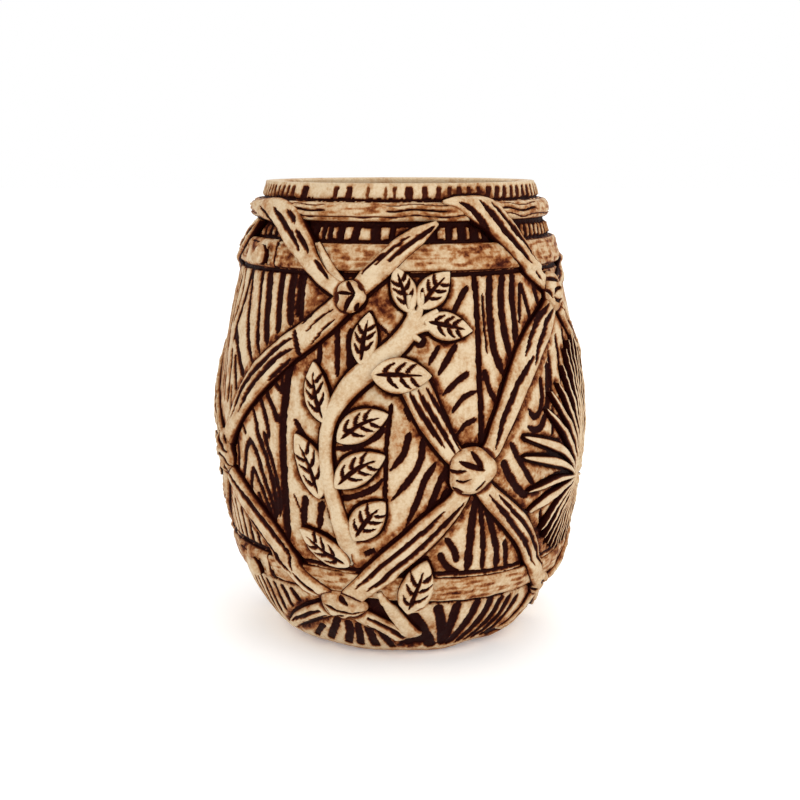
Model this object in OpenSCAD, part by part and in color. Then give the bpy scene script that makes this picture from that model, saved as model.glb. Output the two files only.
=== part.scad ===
// Barrel-shaped ceramic tiki mug. A hollow body carries raised ornament: two hoops with nailed
// strap ends, a neck cord, a net of lashings with knots, two leafy vines and two rosettes.
// The ornament has two-fold symmetry: everything modelled at an angle repeats half a turn on.
// Places on the wall are [angle, height]: degrees round from the front (-Y), towards +X, and mm up.

/* [Body] */
// Height of the mug, foot to lip
height = 120; // [114:1:126]
// Radius of the stave surface at the belly
belly_r = 49.2; // [47:0.1:51]
// Height of the belly's widest ring
belly_z = 57; // [54:1:60]
// Outer radius of the lip
rim_r = 35.2; // [34:0.1:37]
// Radius of the flat foot
foot_r = 27; // [25:0.5:28]
// Thickness of the wall
wall = 4.2; // [3.5:0.1:5]
// Thickness of the floor
floor_t = 5.5; // [4.5:0.1:7]
// Depth of the hollow under the foot
foot_recess = 1.5; // [1:0.1:2]
// Width of the foot's standing ring
foot_ring_w = 5; // [4:0.5:7]

/* [Hoops] */
// How far a hoop stands out of the staves
hoop_t = 1.0; // [0.6:0.1:1.2]
// Height of the upper hoop's lower edge
upper_hoop_z = 99.3; // [98:0.1:100]
// Height of the lower hoop's lower edge
lower_hoop_z = 18.9; // [18:0.1:19.5]
// Width of a hoop
hoop_w = 6.8; // [6:0.1:7.2]
// How far a strap end stands out of its hoop
strap_t = 0.8; // [0.5:0.1:1]
// Radius of a nail head
nail_r = 1.9; // [1.4:0.1:2.2]

/* [Lashings] */
// How far a lashing stands out of the staves
lash_h = 2.0; // [1.6:0.1:2.4]
// Width of a lashing at its middle
lash_w = 6.6; // [5:0.1:6.8]
// Width of a lashing where it meets a knot
lash_end_w = 4.6; // [3.8:0.1:4.8]
// How far the neck cord stands out of the neck
cord_h = 1.8; // [1.2:0.1:2]
// Height of the neck cord's lower edge
cord_z = 111; // [110.5:0.1:111.5]
// Width of the neck cord
cord_w = 4.6; // [4:0.1:5]
// Half the width of the largest knot
knot_r = 6.2; // [5.8:0.1:6.4]
// How far a knot stands out of the staves
knot_h = 3.0; // [2.4:0.1:3.4]

/* [Vine and rosette] */
// How far a leaf stands out of the staves
leaf_h = 1.7; // [1.4:0.1:2.2]
// How far a vine's stem stands out of the staves
stem_h = 2.0; // [1.6:0.1:2.4]
// How far a petal stands out of the staves
petal_h = 1.6; // [1.2:0.1:2]
// Radius of a rosette's button
button_r = 4.2; // [3.4:0.1:4.6]

/* [Hidden] */
$fn = 96;

clay = "#c9b384";
stain = "#8a5a2e";
joint = 0.1;           // hairline between an ornament and what it lies on
half_turn = 180;

// Knots in one half turn, left one first: [angle, height, half width, half height], the last two
// as shares of knot_r
upper_knots = [[-17.2, 93.2, 0.69, 0.84], [61.5, 92.7, 0.74, 0.84]];
middle_knots = [[20.4, 52.4, 1, 0.97], [114.5, 51.3, 0.79, 0.94]];
lower_knots = [[-19.6, 16.9, 1, 0.74], [57.6, 15.6, 0.71, 0.74]];
next_middle_knot = middle_knots[1] - [half_turn, 0, 0, 0];
next_lower_knot = lower_knots[0] + [half_turn, 0, 0, 0];
next_upper_knot = upper_knots[0] + [half_turn, 0, 0, 0];

// Lashings of one half turn, from knot to knot: the left and the right one of each pair
neck_paths = [
  [[[12, 110], [4, 106.6], [-5, 101.4], upper_knots[0]],
   [[17, 115], [25.3, 114.4], [31, 112.2], [36, 109.9], [46, 103], [53, 98.4], upper_knots[1]]],
  [[[116, 110], [109.5, 107.2], [103, 104], [92, 99.4], [78, 95.6], upper_knots[1]],
   [[109, 115], [116, 113.8], [122.5, 112.8], [130, 111], [136, 108.8], [141, 105.9], [148.5, 100.6],
    next_upper_knot]]
];
upper_paths = [
  [[upper_knots[0], [-25, 86.8], [-36, 80.2], [-46, 73.4], [-52, 68], [-57, 62.2], next_middle_knot],
   [[5, 69.8], [8.7, 65], [12.4, 60], middle_knots[0]]],
  [[upper_knots[1], [52.7, 85.9], [47, 82.3], [41.5, 77.6], [36.7, 72.5], [32.5, 66.5], middle_knots[0]],
   [upper_knots[1], [67, 86], [75.6, 80], [90, 71], [103, 61], middle_knots[1]]]
];
lower_paths = [
  [[middle_knots[0], [13.1, 41.9], [8.4, 37.8], [-1.3, 30.1], [-11.8, 22.6], lower_knots[0]],
   [middle_knots[0], [28.7, 43.6], [37.9, 36.5], [43.9, 30.6], [48.9, 23.8], lower_knots[1]]],
  [[middle_knots[1], [109, 42], [98, 33.4], [85, 25], [70, 18.4], lower_knots[1]],
   [middle_knots[1], [120.7, 44.8], [128, 40.8], [134, 35.8], [139.2, 31.6], [149, 24], next_lower_knot]]
];
foot_paths = [
  [[lower_knots[0], [-33, 11], [-42, 7.6]], [lower_knots[0], [-12.4, 11.4], [-7.6, 8.8], [-4, 6.6]]],
  [[lower_knots[1], [50, 9.3], [43, 6]], [lower_knots[1], [66, 9.3], [75, 6]]]
];
next_knots = [next_upper_knot, next_middle_knot, next_lower_knot];
all_knots = concat(upper_knots, middle_knots, lower_knots, next_knots);

// The vine's stem with its width at each point
stem_path = [[-14, 30.4], [-15.4, 34], [-18, 41], [-20.4, 50], [-21.1, 58], [-20, 64.5], [-17.2, 69.5],
             [-13.1, 74], [-7.4, 78], [-1.6, 82], [2.4, 85.4], [4.2, 89]];
stem_widths = [6.2, 5.6, 4.4, 3.7, 3.4, 3.6, 4.6, 5.4, 5.4, 4.8, 4.4, 4.2];
// Leaves of a vine: [base, tip, width]
leaves = [
  [[2.5, 91.5], [-0.8, 98.2], 5.8], [[6.2, 91.3], [14.5, 98.2], 6.4], [[7.8, 87.6], [22, 86], 6.2],
  [[-11.2, 80.2], [-9.6, 89.6], 5.6], [[-4.4, 74.9], [8.2, 75.2], 7.0], [[-24.4, 66.4], [-25.8, 77.4], 5.2],
  [[-25, 46.2], [-31.8, 60], 6.6], [[-17.5, 61], [-3.6, 66.6], 6.2],
  [[-17.5, 48.4], [-4.8, 55.4], 6.4], [[-12, 36.6], [-4.6, 44.6], 7.0], [[-19, 31.6], [-31.5, 36.6], 6.0]
];
sprig_path = [[-4.6, 18], [0.4, 12.8], [5.4, 8]];
sprig_leaf = [[4.4, 17.4], [8.2, 29], 7.4];

// Petals of a rosette: [direction, length], anticlockwise from the +angle side
rosette_at = [73, 43.6];
petals = [[-2, 20], [13, 19], [28, 18], [43, 19.5], [57, 22], [70, 25], [81, 27], [92, 28],
          [103, 28.5], [114, 29.5], [125, 29], [136, 27.5], [149, 33], [162, 31], [180, 27],
          [193, 25.5], [211, 20.5], [227, 20], [243, 17], [259, 16.5], [277, 15], [294, 14],
          [311, 13], [329, 14], [344, 17]];
petal_w = 3.6;
petal_from = 5;

// Radius of the stave surface at a height
function barrel_r(z) =
  z < belly_z
    ? foot_r + (belly_r - foot_r) * pow(1 - pow((belly_z - max(z, 0)) / belly_z, 1.7), 0.46)
    : belly_r - (belly_r - rim_r) * pow((z - belly_z) / (height - belly_z), 1.57);

// How fast that radius grows with height
function lean(z) = (barrel_r(z + 0.3) - barrel_r(max(z, 0.5) - 0.3)) / (z + 0.6 - max(z, 0.5));

// A point h outside the stave surface, along its normal
function on_wall(a, z, h) =
  let (s = lean(z), n = sqrt(1 + s * s), r = barrel_r(z) + h / n)
  [r * sin(a), -r * cos(a), z - h * s / n];

// The same point as a profile point for rotate_extrude
function profile(z, h) = let (s = lean(z), n = sqrt(1 + s * s)) [barrel_r(z) + h / n, z - h * s / n];

// mm along the wall for one degree round it
function mm_per_degree(z) = barrel_r(z) * PI / 180;

// 1 well inside lo..hi, falling to 0 outside it
function within(z, lo, hi) = let (near = 2, fade = 1.2)
  max(0, min(1, (z - lo + near + fade) / fade, (hi + near + fade - z) / fade));

// Height of the hoops and the neck cord, which the lashings run over
function cover(z) = max(
  hoop_t * within(z, upper_hoop_z, upper_hoop_z + hoop_w),
  hoop_t * within(z, lower_hoop_z, lower_hoop_z + hoop_w),
  (cord_h + joint) * within(z, cord_z, cord_z + cord_w));

// A smooth curve through points, as steps + 1 points
function blend(p, i, t) =
  let (n = len(p) - 1, a = p[max(i - 1, 0)], b = p[i], c = p[min(i + 1, n)], d = p[min(i + 2, n)])
  0.5 * (2 * b + (c - a) * t + (2 * a - 5 * b + 4 * c - d) * t * t + (3 * b - a - 3 * c + d) * t * t * t);
function curve(p, steps) =
  [for (k = [0:steps]) let (s = k / steps * (len(p) - 1), i = min(floor(s), len(p) - 2)) blend(p, i, s - i)];

// A ribbon along a path on the wall. over says whether it climbs over the hoops and the neck cord;
// otherwise it lies lift above the staves. Each section runs round from its lower left corner: a
// flat underside, then the top as [place across it, share of the height].
crowned = [[1, 0.45], [0.55, 0.93], [0, 1], [-0.55, 0.93], [-1, 0.45]];
three_strands = [[1, 0.35], [0.8, 0.85], [0.36, 0.62], [0.2, 0.95], [-0.2, 0.95], [-0.36, 0.62], [-0.8, 0.85],
                 [-1, 0.35]];
underside = [-1, 0, 1];
module ribbon(path, widths, top, over = false, lift = 0, section = crowned) {
  last = len(path) - 1;
  across = concat(underside, [for (c = section) c[0]]);
  corners = len(across);
  points = [
    for (k = [0:last])
      let (p = path[k], ahead = path[min(k + 1, last)] - path[max(k - 1, 0)],
           stretch = sqrt(1 + pow(lean(p[1]), 2)), m = mm_per_degree(p[1]),
           u = ahead[0] * m, v = ahead[1] * stretch, long = norm([u, v]))
      for (c = [0:corners - 1])
        let (s = across[c] * widths[k] / 2,
             a = p[0] - s * v / long / m, z = p[1] + s * u / long / stretch,
             low = joint + (over ? cover(z) : lift),
             high = c < 3 ? 0 : max(low + 0.3, (top + (over ? 0.45 * cover(z) : 0)) * section[c - 3][1]))
        on_wall(a, z, c < 3 ? low : high)
  ];
  sides = [
    for (k = [0:last - 1], c = [0:corners - 1])
      let (a = k * corners + c, b = k * corners + (c + 1) % corners)
      each [[a, b + corners, b], [a, a + corners, b + corners]]
  ];
  // The end caps fan out from the middle of the underside
  near_end = [for (c = [2:corners - 1]) [1, c, (c + 1) % corners]];
  far_end = [for (c = [2:corners - 1]) [1, (c + 1) % corners, c] + last * corners * [1, 1, 1]];
  polyhedron(points, concat(sides, near_end, far_end), convexity = 4);
}

// How far a place on the wall is from a knot's middle, 1 being its edge grown by knot_gap
knot_gap = 0.25;
function from_knot(p, q) =
  let (z = (p[1] + q[1]) / 2, s = lean(z))
  norm([(p[0] - q[0]) * mm_per_degree(z) / (q[2] * knot_r + knot_gap),
        (p[1] - q[1]) * sqrt(1 + s * s) / (q[3] * knot_r + knot_gap)]);

// A lashing of three strands that stops clear of every knot on its way
module lashing(points, steps = 13) {
  fine = curve([for (p = points) [p[0], p[1]]], 24 * (len(points) - 1));
  free = [for (p = fine) if (min([for (q = all_knots) from_knot(p, q)]) > 1) p];
  path = [for (k = [0:steps]) free[round(k / steps * (len(free) - 1))]];
  widths = [for (k = [0:steps]) lash_end_w + (lash_w - lash_end_w) * sin(180 * k / steps)];
  ribbon(path, widths, lash_h, over = true, section = three_strands);
}

// A leaf or petal: widest at share belly of its length, pointed at its tip
module blade(base, tip, width, top, belly, steps, over = false) {
  least = 0.5;
  path = curve([base, (base + tip) / 2, tip], steps);
  widths = [
    for (k = [0:steps])
      let (t = k / steps, turn = t < belly ? 90 * t / belly : 90 + 90 * (t - belly) / (1 - belly))
      least + (width - least) * pow(max(0, sin(turn)), 0.8)
  ];
  ribbon(path, widths, top, over);
}

// A dome on the wall; size is half its width and half its height. over and lift are as on a ribbon.
module dome(at, size, top, over = false, lift = 0) {
  around = 16;
  // Rings from the middle of the underside, out and over, to the middle of the top
  rings = [[0.55, 0], [1, 0], [1, 0.45], [0.85, 0.8], [0.5, 0.97]];
  last = len(rings) - 1;
  m = mm_per_degree(at[1]);
  stretch = sqrt(1 + pow(lean(at[1]), 2));
  function low(z) = joint + (over ? cover(z) : lift);
  function spot(share, w, rise) =
    let (a = at[0] + share * size[0] * cos(w) / m, z = at[1] + share * size[1] * sin(w) / stretch)
    on_wall(a, z, rise == 0 ? low(z) : max(low(z) + 0.4, low(at[1]) + top * rise));
  points = concat(
    [for (q = rings, k = [0:around - 1]) spot(q[0], 360 * k / around, q[1])],
    [spot(0, 0, 0), spot(0, 0, 1)]);
  under = len(rings) * around;
  faces = concat(
    [for (i = [0:last - 1], k = [0:around - 1]) let (a = i * around + k, b = i * around + (k + 1) % around)
      each [[a, b + around, b], [a, a + around, b + around]]],
    [for (k = [0:around - 1]) [k, (k + 1) % around, under]],
    [for (k = [0:around - 1]) [last * around + (k + 1) % around, last * around + k, under + 1]]);
  polyhedron(points, faces, convexity = 4);
}

// Draws its children once, or once more half a turn on
module placed(i) rotate([0, 0, i == 1 ? 0 : half_turn]) children();

// A ring of a constant thickness that follows the stave surface
module wall_ring(z, w, t) {
  steps = 4;
  heights = [for (k = [0:steps]) z + w * k / steps];
  rotate_extrude()
    polygon(concat([for (h = heights) profile(h, joint)],
                   [for (k = [steps:-1:0]) profile(heights[k], k == 0 || k == steps ? t * 0.7 : t)]));
}

module mug_body() {
  bands = 14;
  outside = concat(
    [for (k = [0:bands]) let (z = belly_z * (1 - cos(90 * k / bands))) [barrel_r(z), z]],
    [for (k = [1:bands]) let (z = belly_z + (height - belly_z) * k / bands) [barrel_r(z), z]]);
  // The cavity repeats the outside, wall thickness in, above a floor with a rounded corner
  inside_foot = foot_r - 3;
  cavity_belly = belly_z - floor_t;
  inside = concat(
    [for (k = [bands:-1:1]) let (z = belly_z + (height - belly_z) * k / bands) [barrel_r(z) - wall, z]],
    [for (k = [bands:-1:0]) let (t = cos(90 * k / bands), z = belly_z - cavity_belly * t)
      [inside_foot + (belly_r - wall - inside_foot) * pow(1 - pow(t, 1.7), 0.46), z]]);
  ring_in = foot_r - foot_ring_w;
  color(clay) rotate_extrude()
    polygon(concat([[0, foot_recess], [ring_in - 1, foot_recess], [ring_in, 0]], outside,
                   inside, [[0, floor_t]]));
}

module upper_hoop() { color(stain) wall_ring(upper_hoop_z, hoop_w, hoop_t); }
module lower_hoop() { color(stain) wall_ring(lower_hoop_z, hoop_w, hoop_t); }

// The square end of a hoop's strap, lying on the hoop
strap_from = -65;
strap_to = -49;
module strap_end(z) {
  steps = 6;
  path = [for (k = [0:steps]) [strap_from + (strap_to - strap_from) * k / steps, z + hoop_w / 2]];
  color(stain)
    ribbon(path, [for (k = [0:steps]) hoop_w - 1.2], hoop_t + strap_t, lift = hoop_t);
}

nail_angle = -54.3;
nail_h = 1.3;
module nail(z) color(clay)
  dome([nail_angle, z + hoop_w / 2], nail_r * [1, 1], nail_h, lift = hoop_t + strap_t + joint);

// Two strands side by side, round the neck
module neck_cord() {
  strand = cord_w / 2;
  arc = [for (w = [180:-30:0]) [strand / 2 * cos(w), sin(w)]];
  low = joint + 0.5;
  outer = [
    for (s = [0, 1], p = arc)
      profile(cord_z + strand * (s + 0.5) + p[0], low + (cord_h - 0.55) * p[1])
  ];
  inner = [for (k = [4:-1:0]) profile(cord_z + cord_w * k / 4, joint)];
  color(clay) rotate_extrude() polygon(concat(inner, outer));
}

module lashings(pair) color(clay) for (points = pair) lashing(points);
module knot(at) color(clay) dome(at, knot_r * [at[2], at[3]], knot_h - 0.5 * cover(at[1]), over = true);

module vine_stem() {
  steps = 18;
  at = curve(stem_path, steps);
  wide = curve([for (w = stem_widths) [w, 0]], steps);
  color(clay) ribbon(at, [for (w = wide) w[0]], stem_h);
}

module vine_leaves() color(clay) for (l = leaves) blade(l[0], l[1], l[2], leaf_h, 0.45, 8);

module low_sprig() color(clay) {
  ribbon(curve(sprig_path, 5), [for (k = [0:5]) 4.4 - 0.25 * k], leaf_h, over = true);
  blade(sprig_leaf[0], sprig_leaf[1], sprig_leaf[2], leaf_h, 0.45, 8, over = true);
}

module rosette_petals() {
  m = mm_per_degree(rosette_at[1]);
  function reach(direction, far) = rosette_at + far * [cos(direction) / m, sin(direction)];
  color(clay) for (p = petals)
    blade(reach(p[0], petal_from), reach(p[0], p[1]), min(petal_w, p[1] / 7), petal_h, 0.6, 6);
}

module rosette_button() color(clay) dome(rosette_at, (button_r - 0.4) * [1, 1], petal_h + 0.4);

// One part of those that stand in a row round the mug: 1 and 2 in one half turn, 3 and 4 in the other
function index(i) = (i - 1) % 2;
function turned(i) = i > 2 ? half_turn : 0;

mug_body();
upper_hoop();
lower_hoop();
neck_cord();
for (i = [1, 2]) {
  placed(i) strap_end(upper_hoop_z);
  placed(i) strap_end(lower_hoop_z);
  placed(i) nail(upper_hoop_z);
  placed(i) nail(lower_hoop_z);
  placed(i) vine_stem();
  placed(i) vine_leaves();
  placed(i) low_sprig();
  placed(i) rosette_button();
  placed(i) rosette_petals();
}
for (i = [1:4]) {
  rotate(turned(i)) lashings(neck_paths[index(i)]);
  rotate(turned(i)) lashings(upper_paths[index(i)]);
  rotate(turned(i)) lashings(lower_paths[index(i)]);
  rotate(turned(i)) lashings(foot_paths[index(i)]);
  rotate(turned(i)) knot(upper_knots[index(i)]);
  rotate(turned(i)) knot(middle_knots[index(i)]);
  rotate(turned(i)) knot(lower_knots[index(i)]);
}
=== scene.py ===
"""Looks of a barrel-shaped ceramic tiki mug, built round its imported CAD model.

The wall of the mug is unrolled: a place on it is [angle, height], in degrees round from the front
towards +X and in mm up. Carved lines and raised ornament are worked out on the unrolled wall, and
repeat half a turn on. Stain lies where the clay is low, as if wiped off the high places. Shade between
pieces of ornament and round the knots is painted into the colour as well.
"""

import bpy
import numpy as np
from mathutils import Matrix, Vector


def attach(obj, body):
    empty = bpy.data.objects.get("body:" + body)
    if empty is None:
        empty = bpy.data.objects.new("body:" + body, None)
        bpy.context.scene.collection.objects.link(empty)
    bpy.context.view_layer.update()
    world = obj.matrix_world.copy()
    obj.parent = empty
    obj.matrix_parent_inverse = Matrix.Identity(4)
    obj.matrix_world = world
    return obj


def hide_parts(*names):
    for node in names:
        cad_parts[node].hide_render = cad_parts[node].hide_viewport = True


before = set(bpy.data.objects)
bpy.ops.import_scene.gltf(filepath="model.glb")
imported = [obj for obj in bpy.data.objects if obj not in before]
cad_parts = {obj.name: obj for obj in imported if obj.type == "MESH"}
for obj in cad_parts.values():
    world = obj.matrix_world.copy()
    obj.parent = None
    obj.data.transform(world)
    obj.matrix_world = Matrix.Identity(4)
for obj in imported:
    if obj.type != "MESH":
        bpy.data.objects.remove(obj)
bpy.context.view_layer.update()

MM = 0.001
# How deep ornament is seated in the wall, and the least height of it or of anything over the floor, in mm
SEAT = -1.1
THIN = 0.2

# The barrel's sizes in mm, as in the CAD model
HEIGHT = 120.0
BELLY_R = 49.2
BELLY_Z = 57.0
RIM_R = 35.2
FOOT_R = 27.0
WALL = 4.2
FLOOR = 5.5
FOOT_RECESS = 1.5
FOOT_RING = 5.0
HOOP_RISE = 1.0
UPPER_HOOP_Z = 99.3
LOWER_HOOP_Z = 18.9
HOOP_WIDTH = 6.8
CORD_RISE = 1.8
CORD_Z = 111.0
CORD_WIDTH = 4.6
HALF_TURN = 180.0

# The photo's point of view and the height it looks at, in metres, and its lens in mm
CAMERA_PLACE = (0.0, -0.350, 0.128)
LOOK_HEIGHT = 0.0607
LENS = 58.7


# ---------------------------------------------------------------- the barrel's wall

def barrel_radius(z):
    """Radius of the stave surface at a height."""
    below = np.clip(BELLY_Z - z, 0, BELLY_Z) / BELLY_Z
    above = np.clip(z - BELLY_Z, 0, None) / (HEIGHT - BELLY_Z)
    low = FOOT_R + (BELLY_R - FOOT_R) * (1 - below ** 1.7) ** 0.46
    high = BELLY_R - (BELLY_R - RIM_R) * above ** 1.57
    return np.where(z < BELLY_Z, low, high)


# Samples up the wall, closer together at the foot, where it curves most
Z_AT = HEIGHT * np.linspace(0, 1, 4001) ** 2
R_AT = barrel_radius(Z_AT)
ARC_AT = np.concatenate([[0], np.cumsum(np.hypot(np.diff(R_AT), np.diff(Z_AT)))])
WALL_LENGTH = ARC_AT[-1]


def wall_slope():
    """The outward normal's share along the radius and up, smoothed over 1 mm."""
    reach = 0.5
    before = np.clip(ARC_AT - reach, 0, WALL_LENGTH)
    after = np.clip(ARC_AT + reach, 0, WALL_LENGTH)
    along_r = np.interp(after, ARC_AT, R_AT) - np.interp(before, ARC_AT, R_AT)
    along_z = np.interp(after, ARC_AT, Z_AT) - np.interp(before, ARC_AT, Z_AT)
    long = np.hypot(along_r, along_z)
    return along_z / long, -along_r / long


NORMAL_R, NORMAL_Z = wall_slope()


def up_wall(z):
    """mm along the wall from the foot to a height."""
    return np.interp(z, Z_AT, ARC_AT)


def height_at(arc):
    return np.interp(arc, ARC_AT, Z_AT)


def per_degree(arc):
    """mm along the wall for one degree round it."""
    return np.interp(arc, ARC_AT, R_AT) * np.pi / 180


def wall_point(angle, arc, rise):
    """Places in mm, rise above the stave surface."""
    radius = np.interp(arc, ARC_AT, R_AT) + rise * np.interp(arc, ARC_AT, NORMAL_R)
    z = height_at(arc) + rise * np.interp(arc, ARC_AT, NORMAL_Z)
    turn = np.radians(angle)
    return np.stack([radius * np.sin(turn), -radius * np.cos(turn), z], -1)


def waves(angle, arc, around, up, seed):
    """Smooth random waves, around mm by up mm across, about -1 to 1, the same half a turn on."""
    rng = np.random.default_rng(seed)
    count = 26
    turn = np.radians(angle)
    total = 0
    for _ in range(count):
        way = rng.uniform(0, 2 * np.pi)
        pace = rng.uniform(0.6, 1.5)
        per_turn = 2 * np.round(pace * np.cos(way) * np.pi * BELLY_R / around)
        per_mm = pace * np.sin(way) * 2 * np.pi / up
        total = total + np.cos(per_turn * turn + per_mm * arc + rng.uniform(0, 2 * np.pi))
    return total / np.sqrt(count)


def soft_step(low, high, x):
    t = np.clip((x - low) / (high - low), 0, 1)
    return t * t * (3 - 2 * t)


def smooth(points, step=1.5, mm_per_unit=None):
    """A curve through points, with a point about each step mm."""
    p = np.asarray(points, float)
    if len(p) < 2:
        return p
    scale = 1 if mm_per_unit is None else mm_per_unit
    out = []
    last = len(p) - 1
    for i in range(last):
        a, b, c, d = p[max(i - 1, 0)], p[i], p[i + 1], p[min(i + 2, last)]
        long = np.hypot((c[0] - b[0]) * scale, c[1] - b[1])
        for t in np.arange(0, 1, 1 / max(2, int(long / step))):
            out.append(0.5 * (2 * b + (c - a) * t + (2 * a - 5 * b + 4 * c - d) * t ** 2
                              + (3 * b - a - 3 * c + d) * t ** 3))
    out.append(p[last])
    return np.array(out)


def on_wall(points, step=1.5):
    """A curve through [angle, height] places, as [angle, mm along the wall]."""
    p = np.array(points, float)
    p[:, 1] = up_wall(p[:, 1])
    return smooth(p, step, 0.8)


def from_line(line, u, v, mm_per_u):
    """Distance in mm from places (u, v) to a line, and the nearest point's share of its length."""
    scales = [mm_per_u(v_mid) for v_mid in (line[1:, 1] + line[:-1, 1]) / 2]
    steps = [np.hypot((b[0] - a[0]) * s, b[1] - a[1]) for a, b, s in zip(line, line[1:], scales)]
    total = sum(steps)
    done = 0
    nearest = np.full(np.broadcast(u, v).shape, 1e9)
    share = np.zeros_like(nearest)
    for a, b, scale, long in zip(line, line[1:], scales, steps):
        if long == 0:
            continue
        along_x, along_y = (b[0] - a[0]) * scale, b[1] - a[1]
        off_x, off_y = (u - a[0]) * scale, v - a[1]
        part = np.clip((off_x * along_x + off_y * along_y) / long ** 2, 0, 1)
        away = np.hypot(off_x - part * along_x, off_y - part * along_y)
        closer = away < nearest
        nearest = np.where(closer, away, nearest)
        share = np.where(closer, (done + part * long) / total, share)
        done += long
    return nearest, share


def narrowing(share, ends):
    """Width of a stroke along its length: ends are the shares over which it comes to a point."""
    start = np.clip(share / max(ends[0], 1e-6), 0, 1)
    finish = np.clip((1 - share) / max(ends[1], 1e-6), 0, 1)
    return np.sqrt(np.minimum(start, finish))


def gouge(away, share, width, ends):
    """How deep in a gouged stroke a place lies, from 0 outside it to 1 along its middle."""
    half = np.maximum(width / 2 * narrowing(share, ends), 0.02)
    return np.clip(1 - away / half, 0, 1)


# ---------------------------------------------------------------- relief on the staves

class Staves:
    """Depth, stain, and smear with painted shade over half a turn of the unrolled wall."""

    def __init__(self, columns, rows):
        self.step = HALF_TURN / columns
        self.angle = np.arange(columns) * self.step - HALF_TURN / 2
        self.arc = np.linspace(0, WALL_LENGTH, rows)
        self.rise = np.zeros((rows, columns))
        self.stain = np.zeros((rows, columns))
        # The smear holds real wiped stain and, on the body, painted shade between ornament
        self.smear_and_shade = np.zeros((rows, columns))
        flat = np.broadcast_arrays(self.angle[None], self.arc[:, None])
        self.shake = 0.09 * waves(*flat, 4.5, 4.5, 5) + 0.07 * waves(*flat, 1.4, 1.4, 6)

    def window(self, line, reach):
        """Rows and columns round a line, with their unrolled places."""
        margin = reach / per_degree(line[:, 1]).min()
        first = int(np.floor((line[:, 0].min() - margin + HALF_TURN / 2) / self.step))
        last = int(np.ceil((line[:, 0].max() + margin + HALF_TURN / 2) / self.step))
        columns = np.arange(first, last + 1)
        low = np.searchsorted(self.arc, line[:, 1].min() - reach)
        high = np.searchsorted(self.arc, line[:, 1].max() + reach)
        rows = np.arange(low, min(high + 1, len(self.arc)))
        angle = columns * self.step - HALF_TURN / 2
        return np.ix_(rows, columns % len(self.angle)), angle[None], self.arc[rows][:, None]

    def cut(self, points, width, depth=0.9, ends=(0.25, 0.25), stain=1.0):
        """A gouged stroke along a smooth curve through points."""
        line = on_wall(points)
        where, angle, arc = self.window(line, width)
        away, share = from_line(line, angle, arc, per_degree)
        q = gouge(away + self.shake[where], share, width, ends)
        self.rise[where] = np.minimum(self.rise[where], -depth * (1 - (1 - q) ** 3))
        self.stain[where] = np.maximum(self.stain[where], stain * soft_step(0.0, 0.3, q))

    def cut_each(self, strokes, widen, depth, ends):
        """Gouged strokes, each a curve and its width, which is widened by a factor."""
        for points, width in strokes:
            self.cut(points, widen * width, depth, ends)

    def shadow(self, line, half_width, depth=0.6, width=1.2, halo=2.4, bare=0.0):
        """The moat, dark outline and brown halo round a piece of ornament; half_width gives its edge along
        line, and bare is the share at the start that has none."""
        where, angle, arc = self.window(line, half_width(np.linspace(0, 1, 20)).max() + width + halo)
        away, share = from_line(line, angle, arc, per_degree)
        out = away + 0.8 * self.shake[where] - half_width(share)
        kept = soft_step(bare - 0.05, bare + 0.05, share) if bare else 1
        near = kept * (1 - soft_step(0.5 * width, width, out))
        self.rise[where] = np.minimum(self.rise[where], -depth * near)
        self.stain[where] = np.maximum(self.stain[where], near)
        self.smear_and_shade[where] = np.maximum(self.smear_and_shade[where],
                                       kept * (1 - soft_step(0.4 * halo, width + halo, out)))

    def shade(self, at, size, amount):
        """A soft oval added to the smear: painted shade between ornament, and brown smudges of stain; size
        is [mm round, mm up].
        """
        line = np.array([[at[0], up_wall(at[1])], [at[0] + 0.01, up_wall(at[1])]])
        where, angle, arc = self.window(line, 1.6 * max(size))
        m = per_degree(line[0, 1])
        away = np.hypot((angle - at[0]) * m / size[0], (arc - line[0, 1]) / size[1])
        # Painted shade and brown smudges both go into the smear here
        self.smear_and_shade[where] = np.maximum(self.smear_and_shade[where], amount * (1 - soft_step(0.5, 1.3, away)))


def blur(field, cells):
    """A soft spread over cells, wrapping round the columns."""
    reach = int(3 * cells)
    weight = np.exp(-0.5 * (np.arange(-reach, reach + 1) / cells) ** 2)
    weight /= weight.sum()
    wide = sum(w * np.roll(field, k, 1) for w, k in zip(weight, range(-reach, reach + 1)))
    tall = np.pad(wide, ((reach, reach), (0, 0)), "edge")
    return sum(w * tall[k:k + len(field)] for k, w in enumerate(weight))


def family(first, last, count, width):
    """Strokes of one width that change evenly from the first to the last, which have as many points."""
    a, b = np.array(first, float), np.array(last, float)
    return [(a + (b - a) * t, width) for t in np.linspace(0, 1, count)]


# ---------------------------------------------------------------- ornament: where everything lies

def behind(points):
    """The same places half a turn on."""
    return [(angle + HALF_TURN, z) for angle, z in points]


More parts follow.
